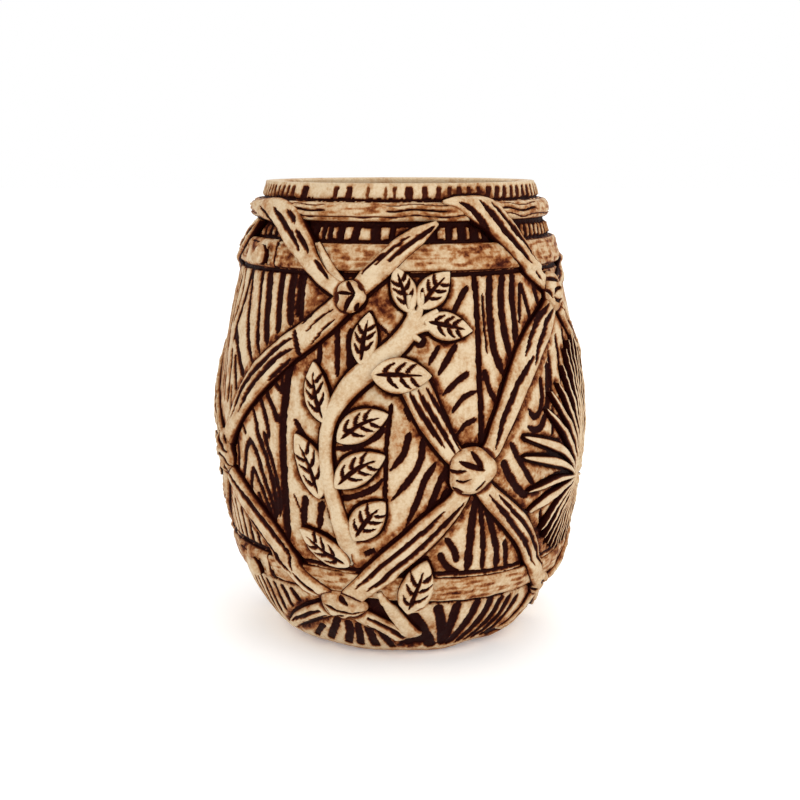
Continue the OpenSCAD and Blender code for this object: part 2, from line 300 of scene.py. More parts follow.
# Slits in a knot: in mm right and up from its middle, each with its width
UPPER_SLITS = [([(-0.8, 3.7), (0.4, 1.7), (1.5, 0.5)], 1.4),
               ([(-3.0, 0.8), (-2.8, -0.8), (-3.1, -1.9)], 1.0),
               ([(1.4, 0.5), (0.2, -1.1), (-0.7, -3.0), (-1.2, -4.0)], 1.6),
               ([(-3.2, 0.8), (1.2, 0.5)], 1.1), ([(1.9, 3.4), (2.9, 1.4)], 1.1),
               ([(1.4, -3.4), (2.4, -1.4)], 1.0)]
EDGE_SLITS = [([(-4.8, 3.6), (-1.6, 3.0), (3.2, 1.8)], 1.4), ([(-2.8, -1.0), (-0.4, 0.3), (2.7, 0.4)], 1.2),
              ([(-2.8, -1.3), (-1.0, -2.7), (2.5, -2.4)], 1.2), ([(-4.2, 1.2), (-3.2, -1.8)], 1.0)]
MIDDLE_SLITS = [([(-3.7, 2.8), (-0.7, 1.5), (2.8, 0.1)], 1.8), ([(-0.6, 5.0), (1.0, 2.5), (2.4, 0.1)], 1.7),
                ([(-6.0, 0.6), (-4.2, 0.2), (-2.0, 0.5)], 1.2), ([(-5.0, -3.6), (-2.3, -5.2)], 1.1),
                ([(0.7, -4.9), (3.2, -2.5)], 1.2), ([(-4.6, -1.6), (-2.6, -2.2), (-0.8, -1.6)], 0.8)]
SIDE_SLITS = [([(-2.4, 5.0), (0.4, 1.6), (4.0, 0.6)], 1.8), ([(4.2, -3.6), (1.2, -1.2), (-3.2, -0.8)], 1.7),
              ([(-3.8, 2.2), (-1.2, 1.0)], 1.2), ([(0.2, -5.4), (1.8, -2.6)], 1.4),
              ([(1.2, 4.8), (3.2, 2.6)], 1.2), ([(-3.4, -3.8), (-1.0, -2.8)], 1.2)]
LOWER_SLITS = [([(0.5, 3.9), (1.1, 2.0), (1.8, 0.5)], 2.0),
               ([(-5.6, 1.0), (-1.5, -1.0), (2.9, -1.5), (5.8, -1.6)], 1.2),
               ([(-2.8, -4.1), (0.6, -2.4)], 1.4), ([(0.5, -4.5), (2.7, -2.7)], 1.2),
               ([(3.3, -4.0), (4.5, -2.8)], 1.1), ([(-4.6, -0.8), (-3.2, -2.6)], 1.0)]
FOOT_SLITS = [([(-2.4, 2.4), (0.2, 0.4), (3.0, -0.6)], 1.4), ([(-3.2, -1.0), (-0.6, -1.6)], 1.2)]

# Each knot's place, half its width and height in mm, and its slits
KNOTS = {
    "upper": [((-15.7, 93.6), (3.6, 4.0), UPPER_SLITS), ((61.5, 92.7), (4.6, 5.2), EDGE_SLITS)],
    "middle": [((20.4, 52.4), (6.2, 6.0), MIDDLE_SLITS), ((114.5, 51.3), (4.8, 5.8), SIDE_SLITS)],
    "lower": [((-19.6, 16.9), (6.2, 4.4), LOWER_SLITS), ((58.0, 16.6), (2.9, 3.4), FOOT_SLITS)],
}
K1, K2 = (knot[0] for knot in KNOTS["upper"])
K3, K4 = (knot[0] for knot in KNOTS["middle"])
K5, K6 = (knot[0] for knot in KNOTS["lower"])
K4_LEFT = (K4[0] - HALF_TURN, K4[1])
KNOT_RISE = 2.2

# A lashing: its path, its widths in mm at the path's points, and its gouges with their widths
NECK_LASHINGS = [
    [([(12.4, 110.2), (6, 107.5), (0, 104.5), (-5, 101.1), (-10, 97.8), K1], [1.4, 4.6, 5.4, 5.6, 5.2, 4.6],
      [([(11.6, 109.4), (6, 106.9), (0, 103.9), (-4, 101.2)], 1.5),
       ([(3, 107.2), (-2, 104.6), (-8, 100.6)], 0.9), ([(-5, 103.6), (-8.4, 101.4), (-12, 98.6)], 0.8)]),
     ([(15.3, 115.1), (21, 115.1), (24.7, 114.4), (29.9, 113.4), (34.8, 111.7), (37.6, 109.4), (41, 106.6),
       (44.4, 103.6), (48.1, 100.5), (52.6, 97.2), K2],
      [0.8, 3.6, 5.6, 7.8, 7.8, 7.8, 7.2, 6.4, 5.4, 4.2, 3.6],
      [([(21, 114.8), (23.8, 114), (26.6, 112.4), (29.2, 110.4), (32.4, 107.6)], 1.7),
       ([(29, 115.4), (31.4, 113.6), (34, 111.6), (36.6, 109.2), (38.8, 106.9), (43, 103.8), (48, 99.8)],
        2.0),
       ([(34, 114.6), (36.6, 112.8), (39.2, 111), (42.8, 107), (45.4, 105.4)], 1.3),
       ([(41, 110.4), (44, 107.2), (47.6, 103.8), (51.4, 100)], 1.3),
       ([(50.4, 98.2), (54, 95.8)], 0.8)])],
    [([(117, 110.2), (111, 107.2), (105, 104), (92, 99), (78, 95.5), K2], [1.0, 2.8, 3.2, 3.4, 3.4, 3.4],
      [([(116, 109.4), (110, 106.4), (102, 102.6), (90, 98)], 1.1),
       ([(113, 109), (106, 105.2), (96, 101.2), (84, 97.4)], 0.9),
       ([(80, 97.4), (72, 95.4), (66, 94.4)], 0.9), ([(78, 94.6), (70, 93.2)], 0.8)]),
     (behind([(-76, 113.4), (-68.1, 113.4), (-59.1, 113), (-50.7, 112.7), (-43.9, 110.7), (-38.2, 106.9),
              (-34.6, 104.7), (-31.4, 102), (-27.8, 99.2), (-23.6, 96.8), K1]),
      [0.8, 3.0, 5.4, 6.6, 7.8, 7.4, 6.6, 5.4, 4.4, 4.0, 4.0],
      [(behind([(-62, 113.2), (-57, 112), (-52.2, 110.2), (-47, 108)]), 0.9),
       (behind([(-51.6, 113.2), (-47.6, 111.6), (-43.4, 109.6), (-39.6, 107.4), (-36.8, 105.4),
                (-34.2, 103.2)]), 1.7),
       (behind([(-43.6, 112.8), (-40, 111), (-38.2, 109.6)]), 1.5),
       (behind([(-37.4, 108.2), (-34.4, 106.2), (-32, 104.4), (-30.6, 102.8)]), 1.5),
       (behind([(-28.2, 101.6), (-25.4, 99.4), (-23, 97.2)]), 1.2)]),
     (behind([(-28, 105.6), (-25.4, 102.6), (-23.4, 100.6), (-20.7, 98), K1]), [0.8, 1.8, 2.2, 2.4, 2.6],
      [])],
]
UPPER_LASHINGS = [
    [([K1, (-23.5, 88), (-30, 83.8), (-36, 80.4), (-46, 73.6), (-52, 68), (-57, 62.2), (-62, 55.5),
       K4_LEFT],
      [5.4, 6.4, 6.8, 7.2, 7.8, 6.8, 5.2, 4.2, 3.8],
      [([(-33.5, 83.3), (-38.9, 80.6), (-43.5, 77.3), (-48.2, 73.9), (-52, 70.4), (-55.8, 65.5),
         (-58.4, 61)], 1.7),
       ([(-32.8, 80.9), (-37.4, 78.9), (-42, 75.6), (-46.6, 72), (-50.6, 67.8), (-54.6, 62.8)], 1.7),
       ([(-33.5, 78.4), (-37.4, 75.6), (-42, 72.2)], 1.1),
       ([(-33.4, 85.4), (-31.8, 81.6), (-30.6, 78.6)], 1.7), ([(-27.4, 89.4), (-31.2, 86.6)], 1.0),
       ([(-20.4, 90.6), (-24.6, 88.4), (-28.6, 85)], 0.7),
       ([(-19.4, 88.4), (-23.4, 85.6), (-27, 82)], 0.6)]),
     ([(3.4, 74.5), (6, 70), (8.7, 65), (12.1, 60), (15.5, 56), K3], [7.2, 7.2, 6.8, 5.6, 4.8, 4.4],
      [([(2.5, 71.9), (5.6, 67), (9.2, 62.3), (12, 58.6)], 1.6),
       ([(4.8, 72.4), (8.3, 67), (12.2, 61.5), (15.2, 57)], 1.5),
       ([(7.0, 73), (10.4, 68.3), (13.9, 62.9), (16.5, 57.6)], 1.3)])],
    [([K2, (57.5, 89.6), (52.7, 85.9), (47, 82.5), (41.5, 77.8), (36.7, 72.5), (32.5, 66.5), (29, 61.5),
       (26.6, 57.5), K3], [3.6, 4.6, 6.6, 8.0, 8.4, 7.2, 6.2, 5.4, 4.8, 4.0],
      [([(55.2, 89.9), (51.9, 88.3), (48.5, 87), (45.2, 84.6), (42.6, 82.2), (39.6, 78.5)], 1.6),
       ([(57.8, 88.8), (54.5, 87.2), (51.9, 85.9), (49.9, 84), (47.5, 81.9), (45.2, 79.3), (43.2, 75.5)],
        1.9),
       ([(43.2, 78.5), (40.6, 76.3), (37.9, 74.2), (35.3, 71.8), (33, 68.6), (30.6, 65.5), (28.6, 61.5),
         (27, 57.2)], 1.9)]),
     ([K2, (66.6, 87), (75.6, 80), (90, 71), (103, 61), K4], [3.6, 4.2, 4.6, 4.6, 4.0, 3.6],
      [([(64.6, 89), (73, 82.4), (86, 74.4), (100, 64.4), (110, 56)], 1.2),
       ([(66, 86.4), (76, 78.6), (88, 71), (100, 62), (108, 55)], 1.1),
       ([(69.5, 86.6), (78, 80), (90, 72.6)], 0.9), ([(98, 66.6), (105, 60.6), (112, 54)], 0.8)])],
]
LOWER_LASHINGS = [
    [([K3, (16.5, 45.2), (13.1, 41.9), (8.4, 37.8), (3.8, 33.9), (-1.3, 30.1), (-5.9, 26.7), (-12.4, 22.2),
       K5],
      [4.0, 4.8, 6.2, 7.2, 7.2, 7.2, 6.8, 5.8, 5.0],
      [([(12.6, 43.1), (8.9, 39.6), (4.1, 36.1), (-0.7, 32.3), (-5.6, 28.8), (-10.4, 25.2), (-14, 22.6)],
        1.4),
       ([(18.6, 45.2), (15, 41.7), (10.1, 37.4), (5.9, 33.6), (1.1, 30), (-4.3, 26.2), (-10.4, 22.2)],
        1.6)]),
     ([K3, (24.8, 47), (28.7, 43.6), (37.9, 36.5), (43.9, 30.6), (48.9, 23.8), (52.5, 20), K6],
      [3.8, 4.8, 5.6, 6.6, 6.0, 5.4, 4.6, 4.0],
      [([(25.8, 46), (30.7, 41.4), (35.5, 36.8), (40.3, 32.6), (43.9, 28.7), (47.6, 24.3)], 1.7),
       ([(28.6, 46), (33.1, 42), (37.9, 38.2), (42.7, 34), (46.3, 29.8), (50, 25.4), (53, 21.8)], 1.4)])],
    [([K4, (109.3, 42), (98, 33), (85, 24.6), (70, 18), K6], [4.0, 4.2, 4.2, 4.0, 3.6, 3.4],
      [([(110, 44), (99, 34.6), (86, 26.2), (72, 19.6)], 1.2),
       ([(108, 39.6), (97, 31.4), (84, 23.4)], 1.1)]),
     (behind([K4_LEFT, (-63.7, 47.4), (-57.9, 43.2), (-53.9, 40), (-48.9, 36.6), (-44.5, 33.4),
              (-41.1, 30.4), (-38.2, 27.8), (-34.9, 25.2), (-31.2, 22.5), (-25.4, 19.6), K5]),
      [3.6, 4.2, 6.6, 7.4, 7.6, 7.3, 7.0, 6.0, 5.4, 5.4, 5.2, 4.8],
      [(behind([(-64.6, 47.4), (-59.6, 44.8), (-55.4, 42.8), (-52, 40.9), (-46.6, 37.6), (-41, 33.4),
                (-38.2, 31.2), (-36, 28)]), 1.9),
       (behind([(-60, 40.4), (-54.4, 37), (-48.6, 33.2), (-45.6, 30.8), (-42.6, 28.8), (-39.4, 27),
                (-35.4, 24.6)]), 1.9),
       (behind([(-34.8, 24.8), (-30.6, 22), (-26.3, 19.8)]), 1.2),
       (behind([(-37.2, 30.6), (-35.8, 28), (-34.6, 25.4)]), 1.1)])],
]
FOOT_LASHINGS = [
    [([K5, (-28.4, 13.9), (-35, 11.6), (-42, 8.8), (-49, 6)], [4.4, 4.6, 4.6, 4.0, 2.0],
      [([(-28, 14.2), (-34, 12.4), (-40, 10.2), (-46, 8)], 1.3),
       ([(-26, 13), (-32, 10.8), (-38, 8.6), (-44, 6.6)], 1.2)]),
     ([K5, (-12, 13.2), (-5.4, 10.4), (0, 7.8), (4, 5)], [4.0, 4.8, 5.0, 4.6, 3.0],
      [([(-11.4, 13.8), (-5, 11.2), (0, 8.6), (3, 6.4)], 1.5),
       ([(-12.6, 11.6), (-6.8, 9), (-2, 6.8)], 1.3)])],
    [([K6, (57, 11.8), (54.6, 8.6), (50, 5.8), (43, 3.6)], [3.2, 3.0, 3.0, 2.8, 2.0],
      [([(57.8, 12.4), (55.4, 9.2), (51, 6.4), (45, 4.4)], 0.8),
       ([(56, 10.6), (53.2, 7.8), (48.6, 5.2)], 0.8)]),
     ([K6, (64.5, 11.2), (72, 7.8), (79.5, 5.2)], [2.4, 2.4, 2.6, 2.2],
      [([(65, 11), (71, 8.2), (77, 6)], 0.8)])],
]
LASHING_RISE = 1.5
LASHING_CUT = 0.65

# The vine: its stem with a width at each point, the prongs with a width each, and the leaves
STEM = [(-14.2, 27.8), (-15.6, 33), (-18, 41), (-20.4, 50), (-21.1, 58), (-20, 64.5), (-17.2, 69.5),
        (-13.1, 74), (-7.4, 78), (-1.6, 82), (3, 86.4), (4.8, 90.4)]
STEM_WIDTHS = [6.4, 5.4, 4.4, 3.7, 3.4, 3.6, 4.6, 5.6, 5.8, 5.0, 4.6, 3.2]
STEM_RISE = 1.6
PRONGS = [([(3.8, 88), (3.2, 91.5), (2.8, 94)], 2.6), ([(4.8, 88), (6.3, 91.4), (6.9, 94.6)], 2.2),
          ([(4.9, 87), (8.2, 89), (11.4, 90.4)], 2.4), ([(4, 86), (7.3, 86.6), (9.8, 86.4)], 2.6),
          ([(2.6, 85), (4.4, 84.4), (5.9, 83.6)], 2.2)]
LEAF_RISE = 1.4
# Each leaf's base, tip, width, bend to its left in mm, and how far it is lifted over what it crosses
LEAVES = [
    ((3, 90), (-1.8, 100.6), 6.2, -0.4, 0), ((5.9, 91), (15.9, 99.2), 7.2, 0.3, 0),
    ((7.3, 88.0), (21.8, 85.4), 7.0, 0.0, 0), ((-11.2, 78), (-9.2, 90), 6.4, 0.2, 0),
    ((-7.9, 75.8), (8.6, 75.4), 8.6, 0.0, 1.5), ((-21.4, 64), (-25.7, 78), 6.6, 0.8, 0),
    ((-23, 45.4), (-30.4, 60.6), 7.8, -0.9, 0), ((-17.3, 59.8), (-3.2, 66.6), 7.6, 0.9, 0),
    ((-18.1, 48.6), (-4.0, 56.8), 7.8, 0.9, 0), ((-13.4, 35.4), (-4.2, 45.4), 8.2, 0.4, 0),
    ((-15.3, 28.4), (-30.4, 36.8), 6.8, 0.9, 0),
]
SPRIG = [(-6.6, 21.8), (-3, 16.4), (1.8, 10.8), (5.2, 7.8), (8, 5)]
SPRIG_WIDTHS = [1.2, 3.4, 3.8, 3.8, 3.0]
SPRIG_LEAF = ((2.4, 15.6), (8.0, 30.0), 8.4, 0.0, 0.2)

# The rosette: the tips of its leaves, with each one's width and bend to its left as it grows outwards
ROSETTE = (73, 43.2)
PETALS = [
    ((37.6, 59.1), 2.7, -2.2), ((37.6, 54), 2.6, -1.3), ((40.3, 44.8), 2.0, -1.5),
    ((41.5, 39.4), 3.2, -1.1), ((48.8, 33.4), 1.9, -2.0), ((51.6, 30.6), 1.7, -2.4),
    ((54.6, 28.4), 1.6, -2.4), ((57.2, 27.0), 1.5, -2.2), ((60, 26.2), 1.5, -1.8), ((63, 26), 1.5, -1.4),
    ((66, 26), 1.5, -1.0), ((69.2, 26), 1.5, -0.5), ((72.4, 26), 1.5, 0.0), ((76, 26.5), 1.6, 0.5),
    ((80, 27.5), 1.7, 0.8), ((85.5, 29.5), 1.8, 1.0), ((90, 32.5), 2.0, 1.2), ((94.5, 37), 2.4, 1.2),
    ((100, 42), 2.6, 1.2), ((101.9, 48), 2.8, 0.8), ((101.9, 54.5), 2.6, -0.6), ((98.9, 61), 2.4, -1.0),
    ((93, 66.5), 2.2, -1.2), ((88, 71), 2.0, -0.8), ((82, 75.5), 2.0, -0.4), ((77.5, 79), 1.8, 0.2),
    ((73, 81), 1.7, 0.4), ((69, 81), 1.6, 0.2), ((65.4, 80), 1.6, -0.4), ((62, 78), 1.7, -0.8),
    ((58, 74.4), 1.8, -1.4), ((54.3, 70.4), 1.9, -1.6), ((49.6, 68.8), 2.1, -1.6),
    ((47.4, 64.8), 2.1, -0.9),
]
PETAL_RISE = 1.2

NAIL_ANGLE = -54.3
STRAP_FROM = -66
STRAP_TO = -45.4


def leaf_outline(width):
    """Half the width of a leaf along its length."""
    return lambda t: width / 2 * np.clip(np.sin(np.pi * np.clip(t, 0, 1) ** 0.85), 0, 1) ** 0.75


def petal_outline(width, long):
    """Widest two thirds out, coming to a point; towards the rosette's middle the leaves share the room."""
    room_per_mm = 0.056

    def half(t):
        full = width / 2 * np.sqrt(np.clip((1 - t) / 0.42, 0, 1))
        return np.minimum(full, 0.16 + room_per_mm * t * long) + 0.03

    return half


def even(width):
    return lambda t: width / 2 + 0 * np.asarray(t)


def through(widths, path):
    """Half of the widths given at a path's points, along its length."""
    angle, arc = np.array(path, float).T
    arc = up_wall(arc)
    steps = np.hypot(np.diff(angle) * per_degree((arc[1:] + arc[:-1]) / 2), np.diff(arc))
    share = np.concatenate([[0], np.cumsum(steps)]) / steps.sum()
    return lambda t: np.interp(t, share, widths) / 2


def bent_line(base, tip, bend):
    """From base to tip, its middle bend mm to the left."""
    base, tip = np.array(base, float), np.array(tip, float)
    middle = (base + tip) / 2
    m = per_degree(up_wall(middle[1]))
    along = (tip - base) * (m, 1)
    left = np.array([-along[1], along[0]]) / np.hypot(*along)
    return on_wall([base, middle + bend * left / (m, 1), tip])


def cover(angle, arc):
    """How far the hoops and the neck cord stand out, for ornament that runs over them."""
    z = height_at(arc)
    swing = hoop_swing(angle)

    def raised(low, width, rise):
        return rise * soft_step(low - 1.6, low + 0.2,
                                z) * (1 - soft_step(low + width - 0.2, low + width + 1.6, z))

    hoops = raised(UPPER_HOOP_Z, HOOP_WIDTH, HOOP_RISE) + raised(LOWER_HOOP_Z + swing, HOOP_WIDTH,
                                                                 HOOP_RISE)
    neck_low = UPPER_HOOP_Z + HOOP_WIDTH / 2
    return np.maximum(hoops, raised(neck_low, CORD_Z + CORD_WIDTH - neck_low, CORD_RISE - 0.6))


def pressed(angle, arc):
    """Near 1 in the groove round each knot, where the canes are drawn in under it and a shadow round the
    knot is painted on them.
    """
    near = 0
    for (knot_angle, z), (half_wide, half_high), _ in sum(KNOTS.values(), []):
        off = (angle - knot_angle + HALF_TURN / 2) % HALF_TURN - HALF_TURN / 2
        across = off * per_degree(up_wall(z)) / half_wide
        away = (np.hypot(across, (arc - up_wall(z)) / half_high) - 1) * min(half_wide, half_high)
        near = np.maximum(near, 1 - soft_step(0.1, 0.6, away))
    return near


def hoop_swing(angle):
    """The lower hoop was laid by hand: it dips and climbs round the mug."""
    return 1.5 * np.cos(np.radians(2 * (angle + 52)))


# ---------------------------------------------------------------- meshes

class Shape:
    """One closed surface: its points in mm, its faces, and the stain and smear (on the body, with painted
    shade) at each point.
    """

    def __init__(self, points, faces, stain, smear_and_shade):
        self.points, self.faces, self.stain, self.smear_and_shade = points, faces, stain, smear_and_shade


def ring_faces(rings, around, closed):
    """Faces between rings of points, joined last to first if closed."""
    last = rings if closed else rings - 1
    k, c = np.meshgrid(np.arange(last), np.arange(around), indexing="ij")
    c_next, k_next = (c + 1) % around, (k + 1) % rings
    quads = [k * around + c, k * around + c_next, k_next * around + c_next, k_next * around + c]
    return np.stack(quads, -1).reshape(-1, 4)


def loft(rings, stain, smear_and_shade, closed=False):
    """A skin over rings of points, with a fan over each end unless it closes on itself."""
    count, around = rings.shape[:2]
    faces = [ring_faces(count, around, closed)]
    points, stain, smear_and_shade = rings.reshape(-1, 3), stain.ravel(), smear_and_shade.ravel()
    if not closed:
        ends = np.stack([rings[0].mean(0), rings[-1].mean(0)])
        c = np.arange(around)
        hub = count * around
        first = np.stack([np.full(around, hub), (c + 1) % around, c], -1)
        final = np.stack([np.full(around, hub + 1), c, (c + 1) % around], -1) + \
            np.array([0, 1, 1]) * (count - 1) * around
        faces += [first, final]
        points = np.concatenate([points, ends])
        stain = np.concatenate([stain, [stain[:around].mean(), stain[-around:].mean()]])
        smear_and_shade = np.concatenate([smear_and_shade, [0, 0]])
    return Shape(points, faces, stain, smear_and_shade)


def signed_volume(points, faces):
    total = 0
    for group in faces:
        for i in range(1, group.shape[1] - 1):
            a, b, c = points[group[:, 0]], points[group[:, i]], points[group[:, i + 1]]
            total += np.einsum("ij,ij->i", a, np.cross(b, c)).sum()
    return total


def half_turned(shape):
    return Shape(shape.points * (-1, -1, 1), shape.faces, shape.stain, shape.smear_and_shade)


def make_piece(name, node, shapes, slot):
    """One Blender object from shapes, standing for a CAD node."""
    points, faces, offset = [], [], 0
    for shape in shapes:
        flip = signed_volume(shape.points, shape.faces) < 0
        for group in shape.faces:
            faces.append((group[:, ::-1] if flip else group) + offset)
        points.append(shape.points)
        offset += len(shape.points)
    points = np.concatenate(points) * MM
    mesh = bpy.data.meshes.new(name)
    mesh.vertices.add(len(points))
    mesh.vertices.foreach_set("co", points.astype(np.float32).ravel())
    sizes = np.concatenate([np.full(len(g), g.shape[1]) for g in faces])
    corners = np.concatenate([g.ravel() for g in faces])
    mesh.loops.add(len(corners))
    mesh.loops.foreach_set("vertex_index", corners.astype(np.int32))
    mesh.polygons.add(len(sizes))
    mesh.polygons.foreach_set("loop_start", np.concatenate([[0], np.cumsum(sizes)[:-1]]).astype(np.int32))
    mesh.polygons.foreach_set("use_smooth", np.ones(len(sizes), bool))
    mesh.update(calc_edges=True)
    for key in ("stain", "smear_and_shade"):
        values = np.concatenate([getattr(s, key) for s in shapes]).astype(np.float32)
        mesh.attributes.new(key, "FLOAT", "POINT").data.foreach_set("value", values)
    mesh.validate()
    mesh.materials.append(MATERIALS[slot])
    piece = bpy.data.objects.new(name, mesh)
    bpy.context.scene.collection.objects.link(piece)
    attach(piece, "root")
    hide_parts(node)


def resample(line, step):
    """Points step mm apart along a line on the wall, with the way it runs and its share of the length."""
    scale = per_degree((line[1:, 1] + line[:-1, 1]) / 2)
    steps = np.hypot(np.diff(line[:, 0]) * scale, np.diff(line[:, 1]))
    done = np.concatenate([[0], np.cumsum(steps)])
    count = max(6, int(done[-1] / step))
    at = np.linspace(0, done[-1], count + 1)
    angle, arc = np.interp(at, done, line[:, 0]), np.interp(at, done, line[:, 1])
    along_x, along_y = np.gradient(angle) * per_degree(arc), np.gradient(arc)
    long = np.hypot(along_x, along_y)
    return angle, arc, along_x / long, along_y / long, at, at / done[-1]


def strip(line, outline, rise, crown, gouges=(), wall_gouges=(), over=False, lift=0.0, sink=lambda t: 0 * t,
          fade=0.0, cell=0.3, dirt=0.35, edge_at=1.0, seed=1):
    """Ornament along a line on the wall. crown gives its height across; sink lowers its ends; fade is the
    share of its length over which it grows out of the wall; edge_at is how far across its stained edges
    begin; over lays it on the hoops and the cord. gouges are (points in mm across and along, width,
    depth, ends); wall_gouges are (points on the wall, width)."""
    angle, arc, way_x, way_y, at, share = resample(line, cell * 1.3)
    widest = outline(np.linspace(0, 1, 50)).max()
    columns = max(10, int(2 * widest / cell))
    q = np.sin(np.linspace(-np.pi / 2, np.pi / 2, columns)) * 0.5 + np.linspace(-1, 1, columns) * 0.5
    across = q[None] * outline(share)[:, None]
    along = np.broadcast_to(at[:, None], across.shape)
    place_angle = angle[:, None] - across * way_y[:, None] / per_degree(arc)[:, None]
    place_arc = np.clip(arc[:, None] + across * way_x[:, None], 0.3, WALL_LENGTH - 0.3)
    height = rise * crown(np.abs(q))[None] * np.ones_like(across)
    stain = np.maximum(soft_step(0.6, 0.15, height / rise),
                       soft_step(edge_at, edge_at + 0.25, np.abs(q))[None])
    cuts = [(smooth(points, 0.8), across, along, lambda v: 1, width, depth, ends)
            for points, width, depth, ends in gouges]
    cuts += [(on_wall(points), place_angle, place_arc, per_degree, width, LASHING_CUT, (0.22, 0.3))
             for points, width in wall_gouges]
    wobble = 0.06 * waves(across * 3, along, 2.2, 2.2, seed)
    for cut_line, u, v, scale, width, depth, ends in cuts:
        away, part = from_line(cut_line, u, v, scale)
        g = gouge(away + wobble, part, width, ends)
        height = np.minimum(height, np.maximum(height - depth * (1 - (1 - g) ** 3), THIN))
        stain = np.maximum(stain, soft_step(0.0, 0.3, g))
    base = cover(place_angle, place_arc) if over else 0
    lump = 0.14 * waves(place_angle, place_arc, 7, 7, 11)
    lump += 0.05 * waves(place_angle, place_arc, 2.2, 2.2, 12)
    if over:
        press = pressed(place_angle, place_arc)
        height = np.minimum(height, rise * (1 - 0.5 * press))
        # Painted shadow: the canes are darkened towards the knot's edge
        stain = np.maximum(stain, 0.75 * press)
    grown = soft_step(-0.01, max(fade, 0.001), share)[:, None] if fade else 1
    stain = stain * grown
    lower = (rise + 1.2) * sink(share)[:, None] + (rise + 0.3) * (1 - grown)
    level = height + lump * np.clip(height / rise, 0, 1) - lower + base + lift
    rings = wall_point(place_angle, place_arc, level)
    left = wall_point(place_angle[:, :1], place_arc[:, :1], np.minimum(level[:, :1] - 0.1, SEAT))
    right = wall_point(place_angle[:, -1:], place_arc[:, -1:], np.minimum(level[:, -1:] - 0.1, SEAT))
    rings = np.concatenate([left, rings, right], 1)
    rings[..., 2] = np.maximum(rings[..., 2], THIN)
    edge = np.ones((len(share), 1)) * grown
    stain = np.concatenate([edge, stain, edge], 1)
    smear_and_shade = dirt * np.clip(0.55 + 0.6 * waves(place_angle, place_arc, 9, 9, 21), 0, 1)
    rub = 0.75 * soft_step(0.95, 0.55, height / rise) * grown
    smear_and_shade = np.concatenate([edge, np.maximum(smear_and_shade, rub), edge], 1)
    return loft(rings, stain, smear_and_shade)


def round_crown(q):
    return np.clip(1 - q ** 2.6, 0, 1) ** 0.5


def rope_crown(q):
    """A broad top with sides that fall steeply."""
    return np.clip(1 - q ** 3.6, 0, 1) ** 0.5


def flat_crown(q):
    return np.clip(1 - q ** 6, 0, 1) ** 0.5


def line_length(line):
    scale = per_degree((line[1:, 1] + line[:-1, 1]) / 2)
    return np.hypot(np.diff(line[:, 0]) * scale, np.diff(line[:, 1])).sum()


def lashing(path, widths, gouges, seed):
    """A flat bundle of cane strands with long gouges between them."""
    free_end = path[-1][1] < 6
    sink = (lambda t: soft_step(0.8, 1.0, t)) if free_end else (lambda t: 0 * t)
    rise = LASHING_RISE * min(1, max(widths) / 5.5)
    return strip(on_wall(path), through(widths, path), rise, rope_crown, wall_gouges=gouges, over=True,
                 sink=sink, seed=seed)


def leaf(base, tip, width, bend, lift, seed):
    """A leaf with a gouged midrib and side veins."""
    line = bent_line(base, tip, bend)
    long = line_length(line)
    half = width / 2
    cuts = [([(0, 0.08 * long), (0.04 * half, 0.45 * long), (0, 0.84 * long)], 1.35, 0.8, (0.25, 0.6))]
    for side, starts in ((1, (0.2, 0.4, 0.58)), (-1, (0.28, 0.48, 0.66))):
        for start in starts:
            reach = 0.74 - 0.3 * abs(start - 0.4)
            points = [(0.1 * side * half, start * long), (0.45 * side * half, (start + 0.08) * long),
                      (reach * side * half, (start + 0.19) * long)]
            cuts.append((points, 1.15, 0.7, (0.15, 0.7)))
    return strip(line, leaf_outline(width), LEAF_RISE, flat_crown, cuts, over=lift > 0, lift=lift,
                 cell=0.22, dirt=0.2, seed=seed)


def petal(tip, width, bend, seed):
    line = bent_line(ROSETTE, tip, bend)
    long = line_length(line)
    return strip(line, petal_outline(width, long), PETAL_RISE, round_crown,
                 sink=lambda t: 0.3 * soft_step(0.3, 0.0, t), cell=0.22, dirt=0.2,
                 edge_at=max(0.3, 1 - 1 / width), seed=seed)


def knot(at, size, slits, rise, seed):
    """A knot with slits between its wraps; size is half its width and height."""
    rings, around = 28, 96
    rise = rise * min(1, max(size) / 4.5)
    share = np.linspace(0, 1, rings + 1)[1:, None] ** 0.8
    way = np.linspace(0, 2 * np.pi, around, endpoint=False)[None]
    edge = 1 / np.hypot(np.cos(way) / size[0], np.sin(way) / size[1])
    edge = edge * (1 + 0.06 * np.cos(3 * way + seed) + 0.04 * np.cos(5 * way + 2 * seed))
    x, y = share * edge * np.cos(way), share * edge * np.sin(way)
    height = rise * np.clip(1 - share ** 3.4, 0, 1) ** 0.5 * np.ones_like(x)
    stain = soft_step(0.4, 0.05, height / rise)
    for points, width in slits:
        away, part = from_line(smooth(points, 0.7), x, y, lambda v: 1)
        g = gouge(away, part, width, (0.3, 0.4))
        height = np.maximum(height - 0.8 * (1 - (1 - g) ** 2.5), THIN)
        stain = np.maximum(stain, soft_step(0.0, 0.4, g))
    m = per_degree(up_wall(at[1]))
    angle, arc = at[0] + x / m, up_wall(at[1]) + y
    arc = np.clip(arc, 0.5, WALL_LENGTH)
    lump = 0.25 * waves(angle, arc, 5, 5, 31 + seed)
    level = height + lump * np.clip(height / rise, 0, 1) + 0.7 * cover(angle, arc)
    top = wall_point(angle, arc, level)
    skirt = wall_point(angle[-1:], arc[-1:], np.full((1, around), SEAT))
    points = np.concatenate([top, skirt])
    points[..., 2] = np.maximum(points[..., 2], THIN)
    smear_and_shade = 0.5 * np.clip(0.5 + 0.6 * waves(angle, arc, 6, 6, 41), 0, 1)
    smear_and_shade = np.maximum(smear_and_shade, 0.5 * soft_step(0.9, 0.5, height / rise))
    edge_row = np.ones((1, around))
    return loft(points, np.concatenate([stain, edge_row]), np.concatenate([smear_and_shade, edge_row]))


